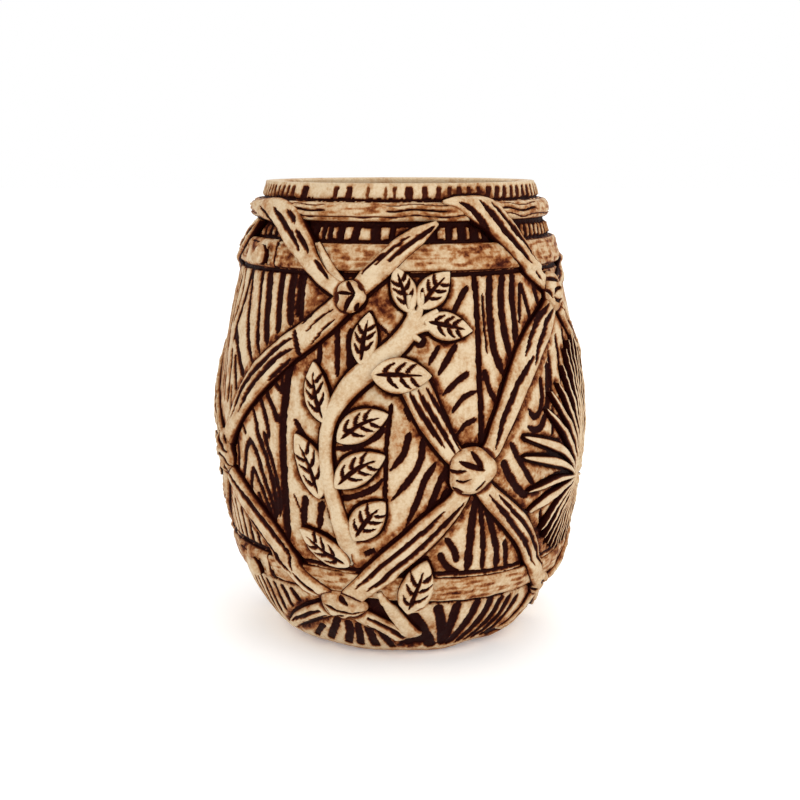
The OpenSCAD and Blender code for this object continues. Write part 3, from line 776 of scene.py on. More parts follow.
# ---------------------------------------------------------------- materials

def srgb(red, green, blue):
    """A colour given as it looks on a screen, 0 to 255."""
    value = np.array([red, green, blue]) / 255
    return tuple(np.where(value < 0.04045, value / 12.92, ((value + 0.055) / 1.055) ** 2.4)) + (1.0,)


class Nodes:
    """Short names for the shader nodes that the glazes need."""

    def __init__(self, name):
        self.material = bpy.data.materials.new(name)
        self.material.use_nodes = True
        self.tree = self.material.node_tree
        self.shader = self.tree.nodes["Principled BSDF"]

    def join(self, source, target):
        if isinstance(source, (int, float)):
            target.default_value = source
        else:
            self.tree.links.new(source, target)

    def attribute(self, name):
        node = self.tree.nodes.new("ShaderNodeAttribute")
        node.attribute_name = name
        return node.outputs["Fac"]

    def math(self, kind, a, b=0.0, clamp=False):
        node = self.tree.nodes.new("ShaderNodeMath")
        node.operation = kind
        node.use_clamp = clamp
        self.join(a, node.inputs[0])
        self.join(b, node.inputs[1])
        return node.outputs[0]

    def noise(self, scale, detail=3.0, roughness=0.55):
        place = self.tree.nodes.new("ShaderNodeTexCoord")
        node = self.tree.nodes.new("ShaderNodeTexNoise")
        node.inputs["Scale"].default_value = scale
        node.inputs["Detail"].default_value = detail
        node.inputs["Roughness"].default_value = roughness
        self.tree.links.new(place.outputs["Object"], node.inputs["Vector"])
        return node.outputs["Fac"]

    def spread(self, value, low, high, to_low=0.0, to_high=1.0):
        node = self.tree.nodes.new("ShaderNodeMapRange")
        node.clamp = True
        self.join(value, node.inputs["Value"])
        for key, number in (("From Min", low), ("From Max", high), ("To Min", to_low), ("To Max", to_high)):
            node.inputs[key].default_value = number
        return node.outputs["Result"]

    def ramp(self, value, stops):
        node = self.tree.nodes.new("ShaderNodeValToRGB")
        row = node.color_ramp.elements
        while len(row) < len(stops):
            row.new(0.5)
        for element, (position, colour) in zip(row, stops):
            element.position = position
            element.color = colour
        self.join(value, node.inputs["Fac"])
        return node.outputs["Color"]

    def bump(self, height, strength, distance):
        node = self.tree.nodes.new("ShaderNodeBump")
        node.inputs["Strength"].default_value = strength
        node.inputs["Distance"].default_value = distance
        self.join(height, node.inputs["Height"])
        self.tree.links.new(node.outputs["Normal"], self.shader.inputs["Normal"])


def stained_glaze(name, blotches, smear_and_shade_amount, gloss):
    """Cream glaze with brown stain: black-brown in the cuts, orange-brown where it was wiped thin, with the
    painted shade between ornament brought in by the smear.
    """
    n = Nodes(name)
    fine = n.noise(1500, 3, 0.6)
    middle = n.noise(420, 5, 0.6)
    broad = n.noise(95, 4, 0.6)
    stain = n.attribute("stain")
    smear_and_shade = n.attribute("smear_and_shade")
    # The smear carries both wiped stain and painted shade
    wiped_stain_and_shade = n.math("MULTIPLY", smear_and_shade, n.spread(middle, 0.3, 0.72, 0.1, smear_and_shade_amount))
    clouds = n.spread(broad, 0.5, 0.72, 0.0, blotches)
    clouds = n.math("MULTIPLY", clouds, n.spread(middle, 0.35, 0.65, 0.3, 1.0))
    total = n.math("ADD", n.math("MAXIMUM", stain, wiped_stain_and_shade), clouds)
    speckle = n.spread(fine, 0.3, 0.7, -0.09, 0.09)
    total = n.math("ADD", total, speckle, clamp=True)
    colour = n.ramp(total, [
        (0.0, srgb(206, 184, 152)), (0.14, srgb(190, 160, 124)), (0.34, srgb(158, 107, 64)),
        (0.52, srgb(118, 63, 30)), (0.72, srgb(64, 21, 7)), (1.0, srgb(30, 2, 0))])
    n.tree.links.new(colour, n.shader.inputs["Base Color"])
    rough = n.spread(total, 0.0, 1.0, gloss, gloss + 0.16)
    n.join(n.math("ADD", rough, n.spread(middle, 0.2, 0.8, -0.05, 0.05)), n.shader.inputs["Roughness"])
    n.bump(n.math("ADD", n.math("MULTIPLY", middle, 0.6), n.math("MULTIPLY", fine, 0.4)), 0.35, 0.0003)
    n.shader.inputs["Specular IOR Level"].default_value = 0.05
    return n.material


MATERIALS = {
    "body_glaze": stained_glaze("body_glaze", 0.34, 0.95, 0.46),
    "hoop_glaze": stained_glaze("hoop_glaze", 0.4, 0.85, 0.5),
    "nail_glaze": stained_glaze("nail_glaze", 0.2, 0.7, 0.45),
    "rope_glaze": stained_glaze("rope_glaze", 0.22, 0.8, 0.45),
    "leaf_glaze": stained_glaze("leaf_glaze", 0.14, 0.7, 0.44),
}


# ---------------------------------------------------------------- the staves

def carve_gaps(staves):
    """The joints between the staves."""
    gaps = [([(-34.6, 79), (-35.6, 70), (-35.9, 62), (-35.6, 52), (-35.9, 44), (-36.9, 32)], 2.9),
            ([(-35.2, 99), (-34.3, 88)], 1.6), ([(-2.4, 69), (-3.6, 61), (-4, 52.6), (-4.3, 45.6)], 1.5),
            ([(25.3, 99.4), (24.8, 89), (23.9, 76), (23.7, 64), (23.4, 57)], 1.9),
            ([(53.1, 79), (52.2, 72), (52, 68)], 1.9), ([(51.6, 65.4), (51.2, 57.4)], 1.7),
            ([(85, 99), (85.2, 84)], 1.8)]
    staves.cut_each(gaps, 1.0, 0.9, (0.03, 0.06))


def carve_left_stave(staves):
    """Long upright grain, left of the upper knot."""
    upright = [
        ([(-70.5, 98.6), (-69.3, 92), (-70.5, 84)], 1.3),
        ([(-63.3, 98.6), (-65, 90), (-66.3, 83), (-66.2, 79)], 2.0),
        ([(-61.9, 98.6), (-59.6, 89.6), (-56.4, 82.4), (-51.8, 75.4)], 1.7),
        ([(-54, 98.6), (-52.5, 89), (-50.6, 82.3), (-48.3, 77.8)], 1.7),
        ([(-49.4, 98.6), (-48.1, 92.3), (-47.1, 85.7), (-45.2, 80.6)], 2.6),
        ([(-42.9, 98.6), (-42.3, 91.2), (-41, 83.6)], 2.3),
        ([(-37.8, 98.6), (-37.4, 91.2), (-36.1, 86)], 2.7),
        ([(-33.5, 98.4), (-33.1, 92.3), (-32.4, 87)], 2.0),
        ([(-66.1, 83), (-62.2, 79), (-58.5, 74.6), (-55.7, 71.6)], 2.1),
        ([(-63.2, 76.6), (-61.2, 72), (-59.3, 67.6)], 1.9), ([(-66.4, 78), (-65.5, 72), (-65.7, 64)], 1.6),
        ([(-63.1, 69), (-62.7, 65), (-62.3, 61)], 1.2)]
    staves.cut_each(upright, 1.1, 0.55, (0.03, 0.1))
    staves.cut_each(family([(-73.5, 98), (-73.8, 84), (-69.2, 64)], [(-95, 96), (-95, 82), (-94, 70)], 9,
                           1.3), 1.0, 0.4, (0.1, 0.15))


def carve_arches(staves):
    """Nested arches of grain beside the wide joint."""
    arches = [
        ([(-57.8, 57), (-57.4, 52), (-58.2, 46)], 1.7),
        ([(-55.7, 45.4), (-53.8, 49.3), (-52.6, 53.8), (-50, 56.4), (-47.6, 54.4), (-45.1, 49.3),
          (-42.6, 44.3), (-40.8, 39.8), (-41.4, 35.4)], 1.7),
        ([(-51.3, 42.6), (-50.5, 46), (-49.4, 49), (-47.3, 47), (-44, 42), (-42.5, 37.6), (-42.3, 36)],
         1.6),
        ([(-47.6, 43.6), (-45.6, 40.2), (-44.5, 37.6)], 1.4),
        ([(-47, 60.6), (-44, 55.4), (-41.8, 50.9), (-40.1, 45.4), (-39.7, 42), (-40.6, 37.2)], 1.8),
        ([(-43.5, 60), (-41.2, 54.8), (-39, 49.3), (-38, 43.7), (-38.8, 38.2)], 1.6),
        ([(-49.5, 65.4), (-47.4, 62.8), (-45.9, 60)], 1.4),
        ([(-45.7, 67.6), (-42.4, 62.6), (-40.8, 58)], 1.5),
        ([(-43.5, 69.2), (-40.5, 66.3), (-37.1, 62.4)], 1.7),
        ([(-40.8, 72.8), (-38.7, 71), (-36.5, 69.8)], 1.5),
        ([(-38.4, 76.6), (-37.3, 73), (-37.1, 70)], 1.3),
        ([(-56.8, 61.4), (-53.8, 60), (-51.7, 57.6)], 1.2)]
    staves.cut_each(arches, 1.15, 0.55, (0.06, 0.1))


def carve_middle_stave(staves):
    """Grain between the vine and the joint right of it."""
    strokes = [
        ([(22.3, 96), (19.6, 93.4), (15.9, 88.8)], 1.8), ([(17.2, 82.8), (13.9, 79), (10.9, 75.4)], 1.8),
        ([(12, 82.6), (9.8, 80.1), (8.1, 77.6)], 1.4), ([(20.8, 75.9), (16.8, 74), (11.8, 70.6)], 1.8),
        ([(22.6, 71.3), (18.5, 70.1), (14.6, 66.4)], 1.6),
        ([(22.4, 64.7), (18.5, 63.5), (16.1, 60.8)], 1.6), ([(1.2, 68.2), (2.4, 66), (3, 64.4)], 1.2),
        ([(2.8, 62.4), (1.2, 57.6), (-1.5, 54.2), (-3, 53)], 2.0),
        ([(6.5, 61.4), (5.8, 55.9), (3.3, 51.5), (-0.8, 47), (-2.4, 45.6)], 2.0),
        ([(10.1, 55), (7.6, 51.5), (5.8, 47.6), (4, 43.2), (1.7, 38.8)], 2.0),
        ([(12.8, 53), (11.1, 49.3), (9, 44.3), (6.9, 41)], 2.0),
        ([(13.6, 48.2), (10.4, 43.2), (8.5, 40.6)], 1.5), ([(-10.4, 90), (-6.1, 87), (-2, 84.3)], 1.0),
        ([(0.6, 87), (-2, 84.8), (-4.4, 82.6)], 1.0)]
    staves.cut_each(strokes, 1.0, 0.6, (0.12, 0.3))
    vine_side = [
        ([(-25, 83.6), (-24.6, 80), (-24.4, 77)], 1.7),
        ([(-19.4, 87.6), (-18.9, 81.2), (-18.5, 74.6)], 1.8),
        ([(-15.1, 86.4), (-14.7, 80), (-14.2, 75)], 2.6),
        ([(-28.1, 45.4), (-29.7, 39.8), (-30.8, 36.6)], 2.3),
        ([(-23, 44.4), (-24.1, 39.8), (-25, 36.4)], 2.1), ([(-21.2, 43), (-19.2, 37), (-19.2, 32.6)], 1.7),
        ([(-32.2, 45.4), (-30.6, 41), (-28.5, 36)], 0.8), ([(-31.8, 64), (-28.5, 60.6), (-24.8, 56)], 1.9),
        ([(-31.4, 58.4), (-27.9, 57.4), (-26.3, 56.4)], 0.9),
        ([(-19.2, 59), (-19.3, 54), (-19, 49.4)], 1.5),
        ([(-19.7, 57.6), (-12.2, 58.7), (-6.5, 61), (-4, 63.6)], 1.9),
        ([(-17.9, 45.2), (-12.2, 46.4), (-7.1, 48.6), (-4.4, 51.4)], 1.9),
        ([(-17.6, 45.6), (-16.5, 41), (-15.1, 36.6)], 1.7)]
    staves.cut_each(vine_side, 1.0, 0.55, (0.12, 0.25))
    staves.cut([(-9.6, 32.4), (-8.8, 31.0)], 3.6, 1.0, (0.0, 0.0))


def carve_right_stave(staves):
    """Grain right of the joint, curved like brackets, with a nested loop below."""
    strokes = [
        ([(27.4, 94), (26.8, 88), (26.9, 80)], 1.0),
        ([(31.3, 98.6), (29.6, 92.3), (29.1, 84), (30.3, 78.4), (33, 73.2)], 2.4),
        ([(36.3, 98.6), (34.2, 92.3), (33.8, 85.7), (34.6, 80.6), (36.3, 77)], 2.4),
        ([(40.7, 98.6), (38.8, 92.3), (38.4, 85.7), (37.4, 81.2)], 2.4),
        ([(43.3, 96), (41.9, 91.2), (40.4, 86)], 1.4), ([(43.3, 96), (45.5, 90), (46.1, 86.8)], 2.0),
        ([(49.7, 97.6), (50.9, 93.4), (51.9, 90)], 2.3), ([(25.6, 76.4), (27, 71.2), (29.9, 67.2)], 1.9),
        ([(26.9, 65), (26.3, 61.6), (26.9, 59)], 1.3),
        ([(46.9, 73), (46.9, 67.9), (45.4, 64.6), (42.6, 63.4), (40.2, 65.6)], 2.1),
        ([(51, 76.2), (50.1, 70.1), (48.5, 64.6), (45.5, 60.6), (42.4, 60.2), (39.3, 61.6)], 2.5),
        ([(33, 58.4), (36.9, 53), (41.8, 47.6), (44.3, 45.4)], 1.9),
        ([(30.3, 54), (34.8, 47.6), (40.8, 43)], 2.6), ([(48.2, 38.8), (49.7, 35.4), (51, 31)], 1.9)]
    staves.cut_each(strokes, 1.0, 0.6, (0.06, 0.16))
    staves.cut_each(family([(59.3, 82.4), (58.5, 76), (57.6, 69)], [(70, 86), (69.9, 79), (69.8, 73)], 3,
                           1.7), 1.0, 0.55, (0.1, 0.3))
    staves.cut_each(family([(72.8, 86), (73.2, 80), (73.7, 74)], [(95.4, 62), (96, 57), (97.4, 52)], 10,
                           1.3), 1.0, 0.55, (0.1, 0.3))


def carve_below(staves):
    """The fans of grain below the middle knots, and the slanted grain round the foot."""
    fan = [
        ([(22.8, 46), (21.7, 39.8), (21.4, 25.6)], 2.6), ([(23.8, 43.6), (25.7, 34.3), (26.8, 25.6)], 1.8),
        ([(25.2, 44), (28.4, 37), (31, 31), (32.1, 25)], 2.2),
        ([(34, 33), (35.2, 28.8), (36.3, 24.4)], 2.0), ([(13.4, 35.4), (16.5, 32), (17.9, 28.2)], 2.0),
        ([(12, 31.6), (14.3, 27.7), (18.9, 25.2)], 2.2)]
    staves.cut_each(fan, 1.0, 0.6, (0.1, 0.1))
    staves.cut_each(family([(-52.1, 33.8), (-52, 31), (-51.8, 28)],
                           [(-68.6, 41), (-68.6, 35), (-68.2, 28.6)], 5, 1.8), 1.0, 0.55, (0.08, 0.06))
    staves.cut_each(family([(-72, 44), (-72.7, 36), (-72.8, 28)], [(-88, 27), (-87.6, 26), (-87.4, 25.4)],
                           6, 1.4), 1.0, 0.55, (0.1, 0.1))
    foot = [([(3.6, 14.6), (7.7, 9.9), (14, 2)], 3.4), ([(12.4, 16.8), (14.9, 11.8), (18.4, 2.6)], 2.8),
            ([(20.1, 17), (19.3, 12.1), (18.2, 2.6)], 2.7), ([(28, 17), (25.7, 11), (20.2, 2.6)], 2.7),
            ([(33.7, 16.9), (31.4, 11), (24.6, 2.6)], 2.6), ([(38.6, 16.4), (36.3, 11), (29, 2.6)], 2.3),
            ([(43, 16), (40.7, 11), (33, 2.6)], 2.3), ([(47.8, 15), (45, 10.6), (37.4, 3)], 2.3),
            ([(-23.1, 12), (-25.1, 9), (-32, 2.8)], 2.2), ([(-19.1, 11.4), (-19.8, 7), (-23.4, 2.4)], 2.4),
            ([(-15.5, 11), (-15.9, 7), (-17, 2.4)], 2.2), ([(-12.1, 10.4), (-11.2, 7), (-10, 2.4)], 2.6),
            ([(-8.2, 9), (-6.1, 6.6), (-2.6, 2.2)], 2.0), ([(-10.8, 18.8), (-6.5, 15), (-1, 10.6)], 3.4),
            ([(-3.8, 22.6), (-1, 18.4), (1, 14.6)], 1.6), ([(-29.7, 9), (-33.8, 6.4), (-40, 2.8)], 1.8)]
    staves.cut_each(foot, 1.12, 0.6, (0.06, 0.1))
    staves.cut_each(family([(-40.8, 18.4), (-39.3, 16.4), (-37.7, 14.4)],
                           [(-59.1, 18.6), (-58.3, 12), (-59.4, 5)], 5, 2.0), 1.0, 0.55, (0.06, 0.08))
    staves.cut_each(family([(-63.5, 18), (-62.9, 11), (-63.3, 5)], [(-87.2, 9), (-87.4, 7), (-87, 5)], 7,
                           1.6), 1.0, 0.55, (0.06, 0.1))
    staves.cut_each(family([(59.4, 8.5), (60, 6), (60.6, 4)], [(77.3, 8.5), (76.9, 6), (76.6, 4)], 5, 1.7),
                    1.0, 0.55, (0.1, 0.1))


# Ticks round the rim and under the cord, as [angle, width]; where none is listed they are evenly spaced
RIM_TICKS = [(-40.5, 2.2), (-25.7, 1.3), (-20, 1.7), (-12.5, 0.7), (-5.5, 0.7), (-2, 1.0), (3.5, 1.9),
             (9.5, 1.6), (15, 1.4), (19.5, 1.2), (23.5, 1.4), (28, 1.2), (32.5, 1.2)]
NECK_TICKS = [(-31.5, 2.2), (-28, 1.4), (-25.4, 1.5), (-21.2, 2.0), (-15.7, 2.1), (-8.5, 2.5), (-2.6, 1.5),
              (12, 2.0), (17.5, 1.8), (22.5, 2.6), (27.4, 2.6)]


def carve_neck(staves):
    """The rim's ticks, the row of teeth under the cord, and the lines along the bands."""
    rim = RIM_TICKS + [(a, 1.6) for a in np.arange(37, 90, 4.5)]
    rim += [(a, 1.3) for a in np.arange(-88, -44, 3.4)]
    for angle, width in rim:
        lean = 1.2 if angle > 35 else 0.2
        staves.cut([(angle + lean, 119.6), (angle - lean, 116.2)], 1.2 * width, 0.5, (0.2, 0.0),
                   min(1, 0.4 + 0.25 * width))
    teeth = NECK_TICKS + [(a, 1.7) for a in np.arange(31.5, 90, 3.6)]
    teeth += [(a, 1.7) for a in np.arange(-88, -34, 4)]
    for angle, width in teeth:
        staves.cut([(angle + 0.3, 110.6), (angle - 0.3, 106.4)], 1.2 * width, 0.9, (0.0, 0.0))
    for z, width in ((116.1, 1.1), (110.4, 1.8), (106.5, 1.3), (98.8, 1.5)):
        for start in (-90, 0):
            staves.cut([(start - 1, z), (start + 45, z), (start + 91, z)], width, 0.8, (0.0, 0.0))
    for start in (-90, 0):
        turn = np.array([start - 1, start + 30, start + 61, start + 91], float)
        for edge, width in ((-0.5, 1.1), (HOOP_WIDTH + 0.7, 1.6)):
            staves.cut([(a, LOWER_HOOP_Z + edge + hoop_swing(a)) for a in turn], width, 0.8, (0.0, 0.0))


def shade_ground(staves):
    """Painted shade in the hollows between pieces of ornament and under the neck loops, with some brown
    smudges of stain.
    """
    # Each oval darkens the colour: painted shade where shade falls, brown smudges elsewhere
    for at, size, amount in (((-6, 92.5), (6.5, 6), 0.85), ((-9, 85), (4.5, 3.5), 0.6),
                             ((-29, 93), (2, 5), 0.7), ((-18, 82), (7, 6), 0.5), ((-6, 15), (4.5, 5), 0.8),
                             ((12, 28), (3.5, 4), 0.75), ((30.5, 49), (3, 5), 0.75),
                             ((-29, 31), (5, 3), 0.7), ((12, 51), (2.5, 5), 0.6), ((52, 95), (4, 3.5), 0.7),
                             ((38, 28), (5, 3.5), 0.5), ((0, 61), (3, 6), 0.45), ((18, 62), (3.5, 4), 0.6),
                             ((25.5, 62), (2, 4), 0.6), ((14.5, 66), (2, 3), 0.45),
                             ((-36.5, 31), (3, 5), 0.85), ((41, 55), (4, 3), 0.5), ((44, 50), (4, 3), 0.45),
                             ((-58, 109), (6, 2), 0.7), ((27, 109.5), (6, 2), 0.7),
                             ((52, 109), (4, 2), 0.6), ((5, 82), (4, 2), 0.7), ((-10, 31.8), (2.5, 2), 0.7),
                             ((-4, 36), (4, 3), 0.35), ((57, 92), (3, 4), 0.6), ((78, 92), (4, 4), 0.6),
                             ((-36, 51), (2, 16), 0.5)):
        staves.shade(at, size, amount)


def ornament_shadows(staves):
    """Dark outlines round every raised piece."""
    for pairs in (NECK_LASHINGS, UPPER_LASHINGS, LOWER_LASHINGS, FOOT_LASHINGS):
        for path, widths, _ in sum(pairs, []):
            staves.shadow(on_wall(path), through(widths, path))
    for at, (half_wide, half_high), _ in sum(KNOTS.values(), []):
        spare = max(half_wide - half_high, 0) / per_degree(up_wall(at[1]))
        middle = [(at[0] - spare - 0.1, at[1]), (at[0] + spare + 0.1, at[1])]
        staves.shadow(on_wall(middle), even(2 * min(half_wide, half_high)), width=1.0)
    staves.shadow(on_wall(STEM), through(STEM_WIDTHS, STEM), width=1.1, halo=1.2, bare=0.25)
    for path, width in PRONGS:
        staves.shadow(on_wall(path), even(width), width=0.8, halo=1.2)
    for base, tip, width, bend, _ in LEAVES + [SPRIG_LEAF]:
        staves.shadow(bent_line(base, tip, bend), leaf_outline(width), width=1.0, halo=1.6)
    staves.shadow(on_wall(SPRIG), through(SPRIG_WIDTHS, SPRIG), width=0.8, halo=1.2)
    for tip, width, bend in PETALS:
        line = bent_line(ROSETTE, tip, bend)
        staves.shadow(line, petal_outline(width, line_length(line)), width=1.0, halo=1.4)


def carve_staves():
    staves = Staves(520, 430)
    for carve in (carve_gaps, carve_left_stave, carve_arches, carve_middle_stave, carve_right_stave,
                  carve_below, carve_neck, shade_ground, ornament_shadows):
        carve(staves)
    flat = np.broadcast_arrays(staves.angle[None], staves.arc[:, None])
    staves.rise += 0.2 * waves(*flat, 24, 24, 3) + 0.05 * waves(*flat, 5, 5, 4)
    halo = blur(staves.stain, 2.6)
    patch = np.clip(0.45 + 0.5 * waves(*flat, 10, 14, 7), 0, 1)
    streak = np.clip(0.5 + 0.6 * waves(*flat, 1.6, 9, 9), 0, 1)
    staves.smear_and_shade = np.clip(np.maximum(staves.smear_and_shade, 0.9 * halo ** 1.3 + 0.25 * patch * streak), 0, 1)
    lip = soft_step(WALL_LENGTH - 1.2, WALL_LENGTH - 0.2, staves.arc)
    staves.rise *= (soft_step(0, 4, staves.arc) * (1 - lip))[:, None]
    staves.stain *= 1 - soft_step(WALL_LENGTH - 1.0, WALL_LENGTH - 0.4, staves.arc)[:, None]
    foot_dark = 1 - soft_step(1.5, 9, staves.arc)[:, None]
    staves.smear_and_shade = np.maximum(staves.smear_and_shade, foot_dark)
    return staves


def build_body(staves):
    """The hollow body, as rings from the underside up the wall, over the lip and down the inside."""
    around = 2 * len(staves.angle)
    angle = np.arange(around) * staves.step - HALF_TURN / 2
    twice = lambda field: np.concatenate([field, field], 1)
    wall = wall_point(angle[None], staves.arc[:, None], twice(staves.rise))
    wall[..., 2] = np.clip(wall[..., 2], 0, HEIGHT)

    def plain(places):
        r, z = np.array(places, float).T
        turn = np.radians(angle)
        return np.stack([r[:, None] * np.sin(turn), -r[:, None] * np.cos(turn), z[:, None] + 0 * turn], -1)

    ring_in = FOOT_R - FOOT_RING
    under = [(0.5, FOOT_RECESS), (10, FOOT_RECESS), (ring_in - 1.6, FOOT_RECESS), (ring_in - 0.7, 1.0),
             (ring_in, 0.25), (ring_in + 0.5, 0.0), (FOOT_R - 1.2, 0.0)]
    lip = [(RIM_R - 0.35, HEIGHT - 0.02), (RIM_R - 1.0, HEIGHT), (RIM_R - 2.2, HEIGHT),
           (RIM_R - 3.3, HEIGHT - 0.15), (RIM_R - 3.9, HEIGHT - 0.6)]
    z = np.linspace(HEIGHT - 1.5, BELLY_Z, 24)
    upper = [(r - WALL, h) for r, h in zip(barrel_radius(z), z)]
    turn = np.linspace(0, np.pi / 2, 24)[1:]
    depth = np.sin(turn)
    inside_foot = FOOT_R - 3
    lower_r = inside_foot + (BELLY_R - WALL - inside_foot) * (1 - depth ** 1.7) ** 0.46
    lower = list(zip(lower_r, BELLY_Z - (BELLY_Z - FLOOR) * depth))
    floor = [(16, FLOOR), (8, FLOOR), (0.5, FLOOR)]
    below, above = plain(under), plain(lip + upper + lower + floor)
    rings = np.concatenate([below, wall, above])
    stain = np.concatenate([np.zeros(below.shape[:2]), twice(staves.stain), np.zeros(above.shape[:2])])
    smear_and_shade = np.concatenate([np.full(below.shape[:2], 0.45), twice(staves.smear_and_shade),
                            np.full(above.shape[:2], 0.12)])
    make_piece("carved_body", "mug_body", [loft(rings, stain, smear_and_shade)], "body_glaze")


def build_ring(name, node, low, width, rise, swing, cell, crown, slot, lines=()):
    """A hoop or cord right round the mug."""
    around = 720
    angle = np.arange(around) * 360 / around - 180
    columns = int(width / cell)
    q = np.linspace(-1, 1, columns)
    centre = up_wall(low + width / 2 + swing(angle))
    arc = centre[:, None] + q[None] * width / 2
    turn = np.broadcast_to(angle[:, None], arc.shape)
    height = rise * crown(np.abs(q))[None] + 0 * arc
    stain = soft_step(0.5, 0.1, height / rise)
    for middle, cut_width, depth, strength in lines:
        away = np.abs((q[None] - middle) * width / 2 + 0.25 * waves(turn, arc * 0, 14, 14, 51) + 0.1)
        g = np.clip(1 - away / (cut_width / 2), 0, 1) * strength(turn)
        height = np.maximum(height - depth * (1 - (1 - g) ** 2), THIN)
        stain = np.maximum(stain, soft_step(0.1, 0.6, g))
    level = height + 0.12 * waves(turn, arc, 9, 9, 13) + 0.05 * waves(turn, arc, 5, 1.6, 14)
    scuff = np.clip(0.35 + 0.8 * waves(turn, arc, 9, 1.3, 15) + 0.5 * waves(turn, arc, 16, 6, 16), 0, 1)
    under = wall_point(turn[:, [0]], arc[:, [0]], 0 * arc[:, [0]] - 1)
    over = wall_point(turn[:, [-1]], arc[:, [-1]], 0 * arc[:, [-1]] - 1)
    rings = np.concatenate([under, wall_point(turn, arc, level), over], 1)
    edge = np.ones((around, 1))
    stain = np.concatenate([edge, stain, edge], 1)
    smear_and_shade = np.concatenate([edge, 0.3 + 0.6 * scuff, edge], 1)
    make_piece(name, node, [loft(rings, stain, smear_and_shade, closed=True)], slot)


def build_hoops():
    still = lambda angle: 0 * angle
    build_ring("sculpted_upper_hoop", "upper_hoop", UPPER_HOOP_Z, HOOP_WIDTH, HOOP_RISE, still, 0.35,
               flat_crown, "hoop_glaze")
    build_ring("sculpted_lower_hoop", "lower_hoop", LOWER_HOOP_Z, HOOP_WIDTH, HOOP_RISE, hoop_swing, 0.35,
               flat_crown, "hoop_glaze")


def build_cord():
    """Two canes, the lower one split, with a binding now and then."""
    still = lambda angle: 0 * angle
    always = lambda turn: 1 + 0 * turn
    at_times = lambda turn: soft_step(-0.2, 0.3, np.sin(np.radians(turn * 8 + 40)))
    lines = [(0.05, 0.9, 0.9, at_times), (-0.55, 0.5, 0.5, always), (0.6, 0.4, 0.4, at_times)]
    build_ring("sculpted_neck_cord", "neck_cord", CORD_Z - 0.2, CORD_WIDTH + 0.2, CORD_RISE, still, 0.22,
               round_crown, "rope_glaze", lines)


def strap_and_nail(low, swing):
    """The end of a strap with a dent beside its nail, and the nail head."""
    middle = low + HOOP_WIDTH / 2 + swing
    line = on_wall([(STRAP_FROM, middle), (STRAP_TO, middle)])
    m = per_degree(up_wall(middle))
    nail_at = (NAIL_ANGLE - STRAP_FROM) * m
    cuts = [([(1.6, nail_at + 2.2), (-0.8, nail_at + 3.4), (-3.2, nail_at + 2.4)], 2.4, 0.7, (0.3, 0.3)),
            ([(0.6, nail_at - 1.6), (-1.4, nail_at - 1.8), (-3.0, nail_at - 0.6)], 1.2, 0.4, (0.3, 0.3)),
            ([(2.4, 1), (2.3, 6)], 0.8, 0.4, (0.3, 0.6)),
            ([(-4, line_length(line) - 0.4), (4, line_length(line) - 0.4)], 1.5, 0.6, (0.0, 0.0))]
    plate = strip(line, even(HOOP_WIDTH + 0.4), HOOP_RISE + 0.5, flat_crown, cuts, cell=0.25, dirt=0.9,
                  seed=3)
    nail = (NAIL_ANGLE + 1, middle - 1)
    head = knot(nail, (1.9, 2.5), [], 2.6, 2)
    place = (np.array(nail[0]), up_wall(nail[1]))
    lift = wall_point(*place, 1.3) - wall_point(*place, 0)
    head.points = head.points + lift
    return plate, head


def build_straps():
    for level, low, swing in (("upper", UPPER_HOOP_Z, 0.0),
                              ("lower", LOWER_HOOP_Z, float(hoop_swing(NAIL_ANGLE)))):
        plate, head = strap_and_nail(low, swing)
        for number, turned in ((1, False), (2, True)):
            shapes = [half_turned(s) if turned else s for s in (plate, head)]
            make_piece(f"sculpted_{level}_strap_end_{number}", f"{level}_strap_end_{number}", shapes[:1],
                       "hoop_glaze")
            make_piece(f"sculpted_{level}_nail_{number}", f"{level}_nail_{number}", shapes[1:],
                       "nail_glaze")


def build_lashings():
    for kind, pairs in (("neck", NECK_LASHINGS), ("upper", UPPER_LASHINGS), ("lower", LOWER_LASHINGS),
                        ("foot", FOOT_LASHINGS)):
        for index, pair in enumerate(pairs):
            shapes = [lashing(*values, seed=3 * index + k) for k, values in enumerate(pair)]
            for number, turned in ((index + 1, False), (index + 3, True)):
                placed = [half_turned(s) if turned else s for s in shapes]
                make_piece(f"sculpted_{kind}_lashing_{number}", f"{kind}_lashing_{number}", placed,
                           "rope_glaze")


def build_knots():
    for kind, knots in KNOTS.items():
        for index, (at, size, slits) in enumerate(knots):
            shape = knot(at, size, slits, KNOT_RISE, index)
            for number, turned in ((index + 1, False), (index + 3, True)):
                placed = half_turned(shape) if turned else shape
                make_piece(f"sculpted_{kind}_knot_{number}", f"{kind}_knot_{number}", [placed],
                           "rope_glaze")


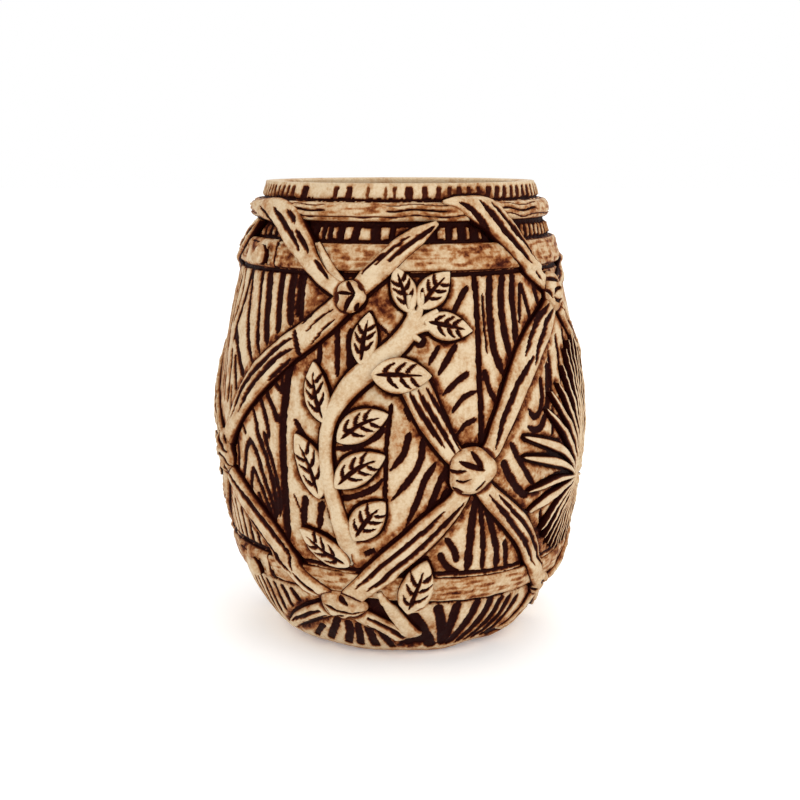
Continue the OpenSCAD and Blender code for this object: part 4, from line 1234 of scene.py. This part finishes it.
def build_vine():
    stem = strip(on_wall(STEM), through(STEM_WIDTHS, STEM), STEM_RISE, round_crown, fade=0.16, dirt=0.25)
    prongs = [strip(on_wall(path), lambda t, wide=width: wide / 2 * (1.05 - 0.5 * t), STEM_RISE - 0.3,
                    round_crown, dirt=0.2) for path, width in PRONGS]
    leaves = [leaf(*values, seed=k) for k, values in enumerate(LEAVES)]
    stalk = strip(on_wall(SPRIG), through(SPRIG_WIDTHS, SPRIG), LEAF_RISE, rope_crown, over=True, dirt=0.3,
                  sink=lambda t: soft_step(0.75, 1, t))
    sprig = [stalk, leaf(*SPRIG_LEAF, seed=20)]
    centre = knot(ROSETTE, (3.0, 3.0), [], PETAL_RISE + 0.6, 4)
    petals = [petal(*values, seed=k) for k, values in enumerate(PETALS)]
    for kind, shapes in (("vine_stem", [stem] + prongs), ("vine_leaves", leaves), ("low_sprig", sprig),
                         ("rosette_petals", petals), ("rosette_button", [centre])):
        for number, turned in ((1, False), (2, True)):
            placed = [half_turned(s) if turned else s for s in shapes]
            make_piece(f"sculpted_{kind}_{number}", f"{kind}_{number}", placed, "leaf_glaze")


# ---------------------------------------------------------------- floor, light and camera

def build_floor():
    material = Nodes("pale_floor")
    tone = material.ramp(material.noise(3.0, 3), [(0.3, srgb(246, 246, 246)), (0.7, srgb(250, 250, 250))])
    material.tree.links.new(tone, material.shader.inputs["Base Color"])
    material.shader.inputs["Roughness"].default_value = 0.9
    material.shader.inputs["Emission Color"].default_value = (1, 1, 1, 1)
    material.shader.inputs["Emission Strength"].default_value = 0.2
    mesh = bpy.data.meshes.new("floor")
    reach = 4.0
    mesh.from_pydata([(-reach, -reach, 0), (reach, -reach, 0), (reach, reach, 0), (-reach, reach, 0)], [],
                     [(0, 1, 2, 3)])
    mesh.materials.append(material.material)
    floor = bpy.data.objects.new("floor", mesh)
    bpy.context.scene.collection.objects.link(floor)


def add_light(name, place, target, size, power, colour=(1, 1, 1)):
    light = bpy.data.lights.new(name, "AREA")
    light.size = size
    light.energy = power
    light.color = colour
    lamp = bpy.data.objects.new(name, light)
    lamp.location = place
    lamp.rotation_euler = (Vector(target) - Vector(place)).to_track_quat("-Z", "Y").to_euler()
    bpy.context.scene.collection.objects.link(lamp)


def build_studio():
    middle = (0, 0, 0.06)
    add_light("key", (0.35, -0.55, 0.55), middle, 0.5, 1.75, (1.0, 0.99, 0.96))
    add_light("fill", (-0.55, -0.5, 0.35), middle, 0.6, 0.3)
    add_light("back", (0.1, 0.6, 0.7), middle, 0.7, 1.4)
    world = bpy.data.worlds.new("studio")
    world.use_nodes = True
    world.node_tree.nodes["Background"].inputs["Color"].default_value = (1, 1, 1, 1)
    world.node_tree.nodes["Background"].inputs["Strength"].default_value = 1.0
    bpy.context.scene.world = world
    bpy.context.scene.view_settings.view_transform = "Standard"
    bpy.context.scene.view_settings.look = "None"


def build_camera():
    camera = bpy.data.objects.new("camera", bpy.data.cameras.new("camera"))
    camera.data.sensor_width = 36.0
    camera.data.lens = LENS
    camera.data.clip_start = 0.01
    camera.location = CAMERA_PLACE
    look = Vector((0.0, 0.0, LOOK_HEIGHT)) - camera.location
    camera.rotation_euler = look.to_track_quat("-Z", "Y").to_euler()
    bpy.context.scene.collection.objects.link(camera)
    bpy.context.scene.camera = camera


build_camera()
build_studio()
build_floor()
build_body(carve_staves())
build_hoops()
build_cord()
build_straps()
build_lashings()
build_knots()
build_vine()
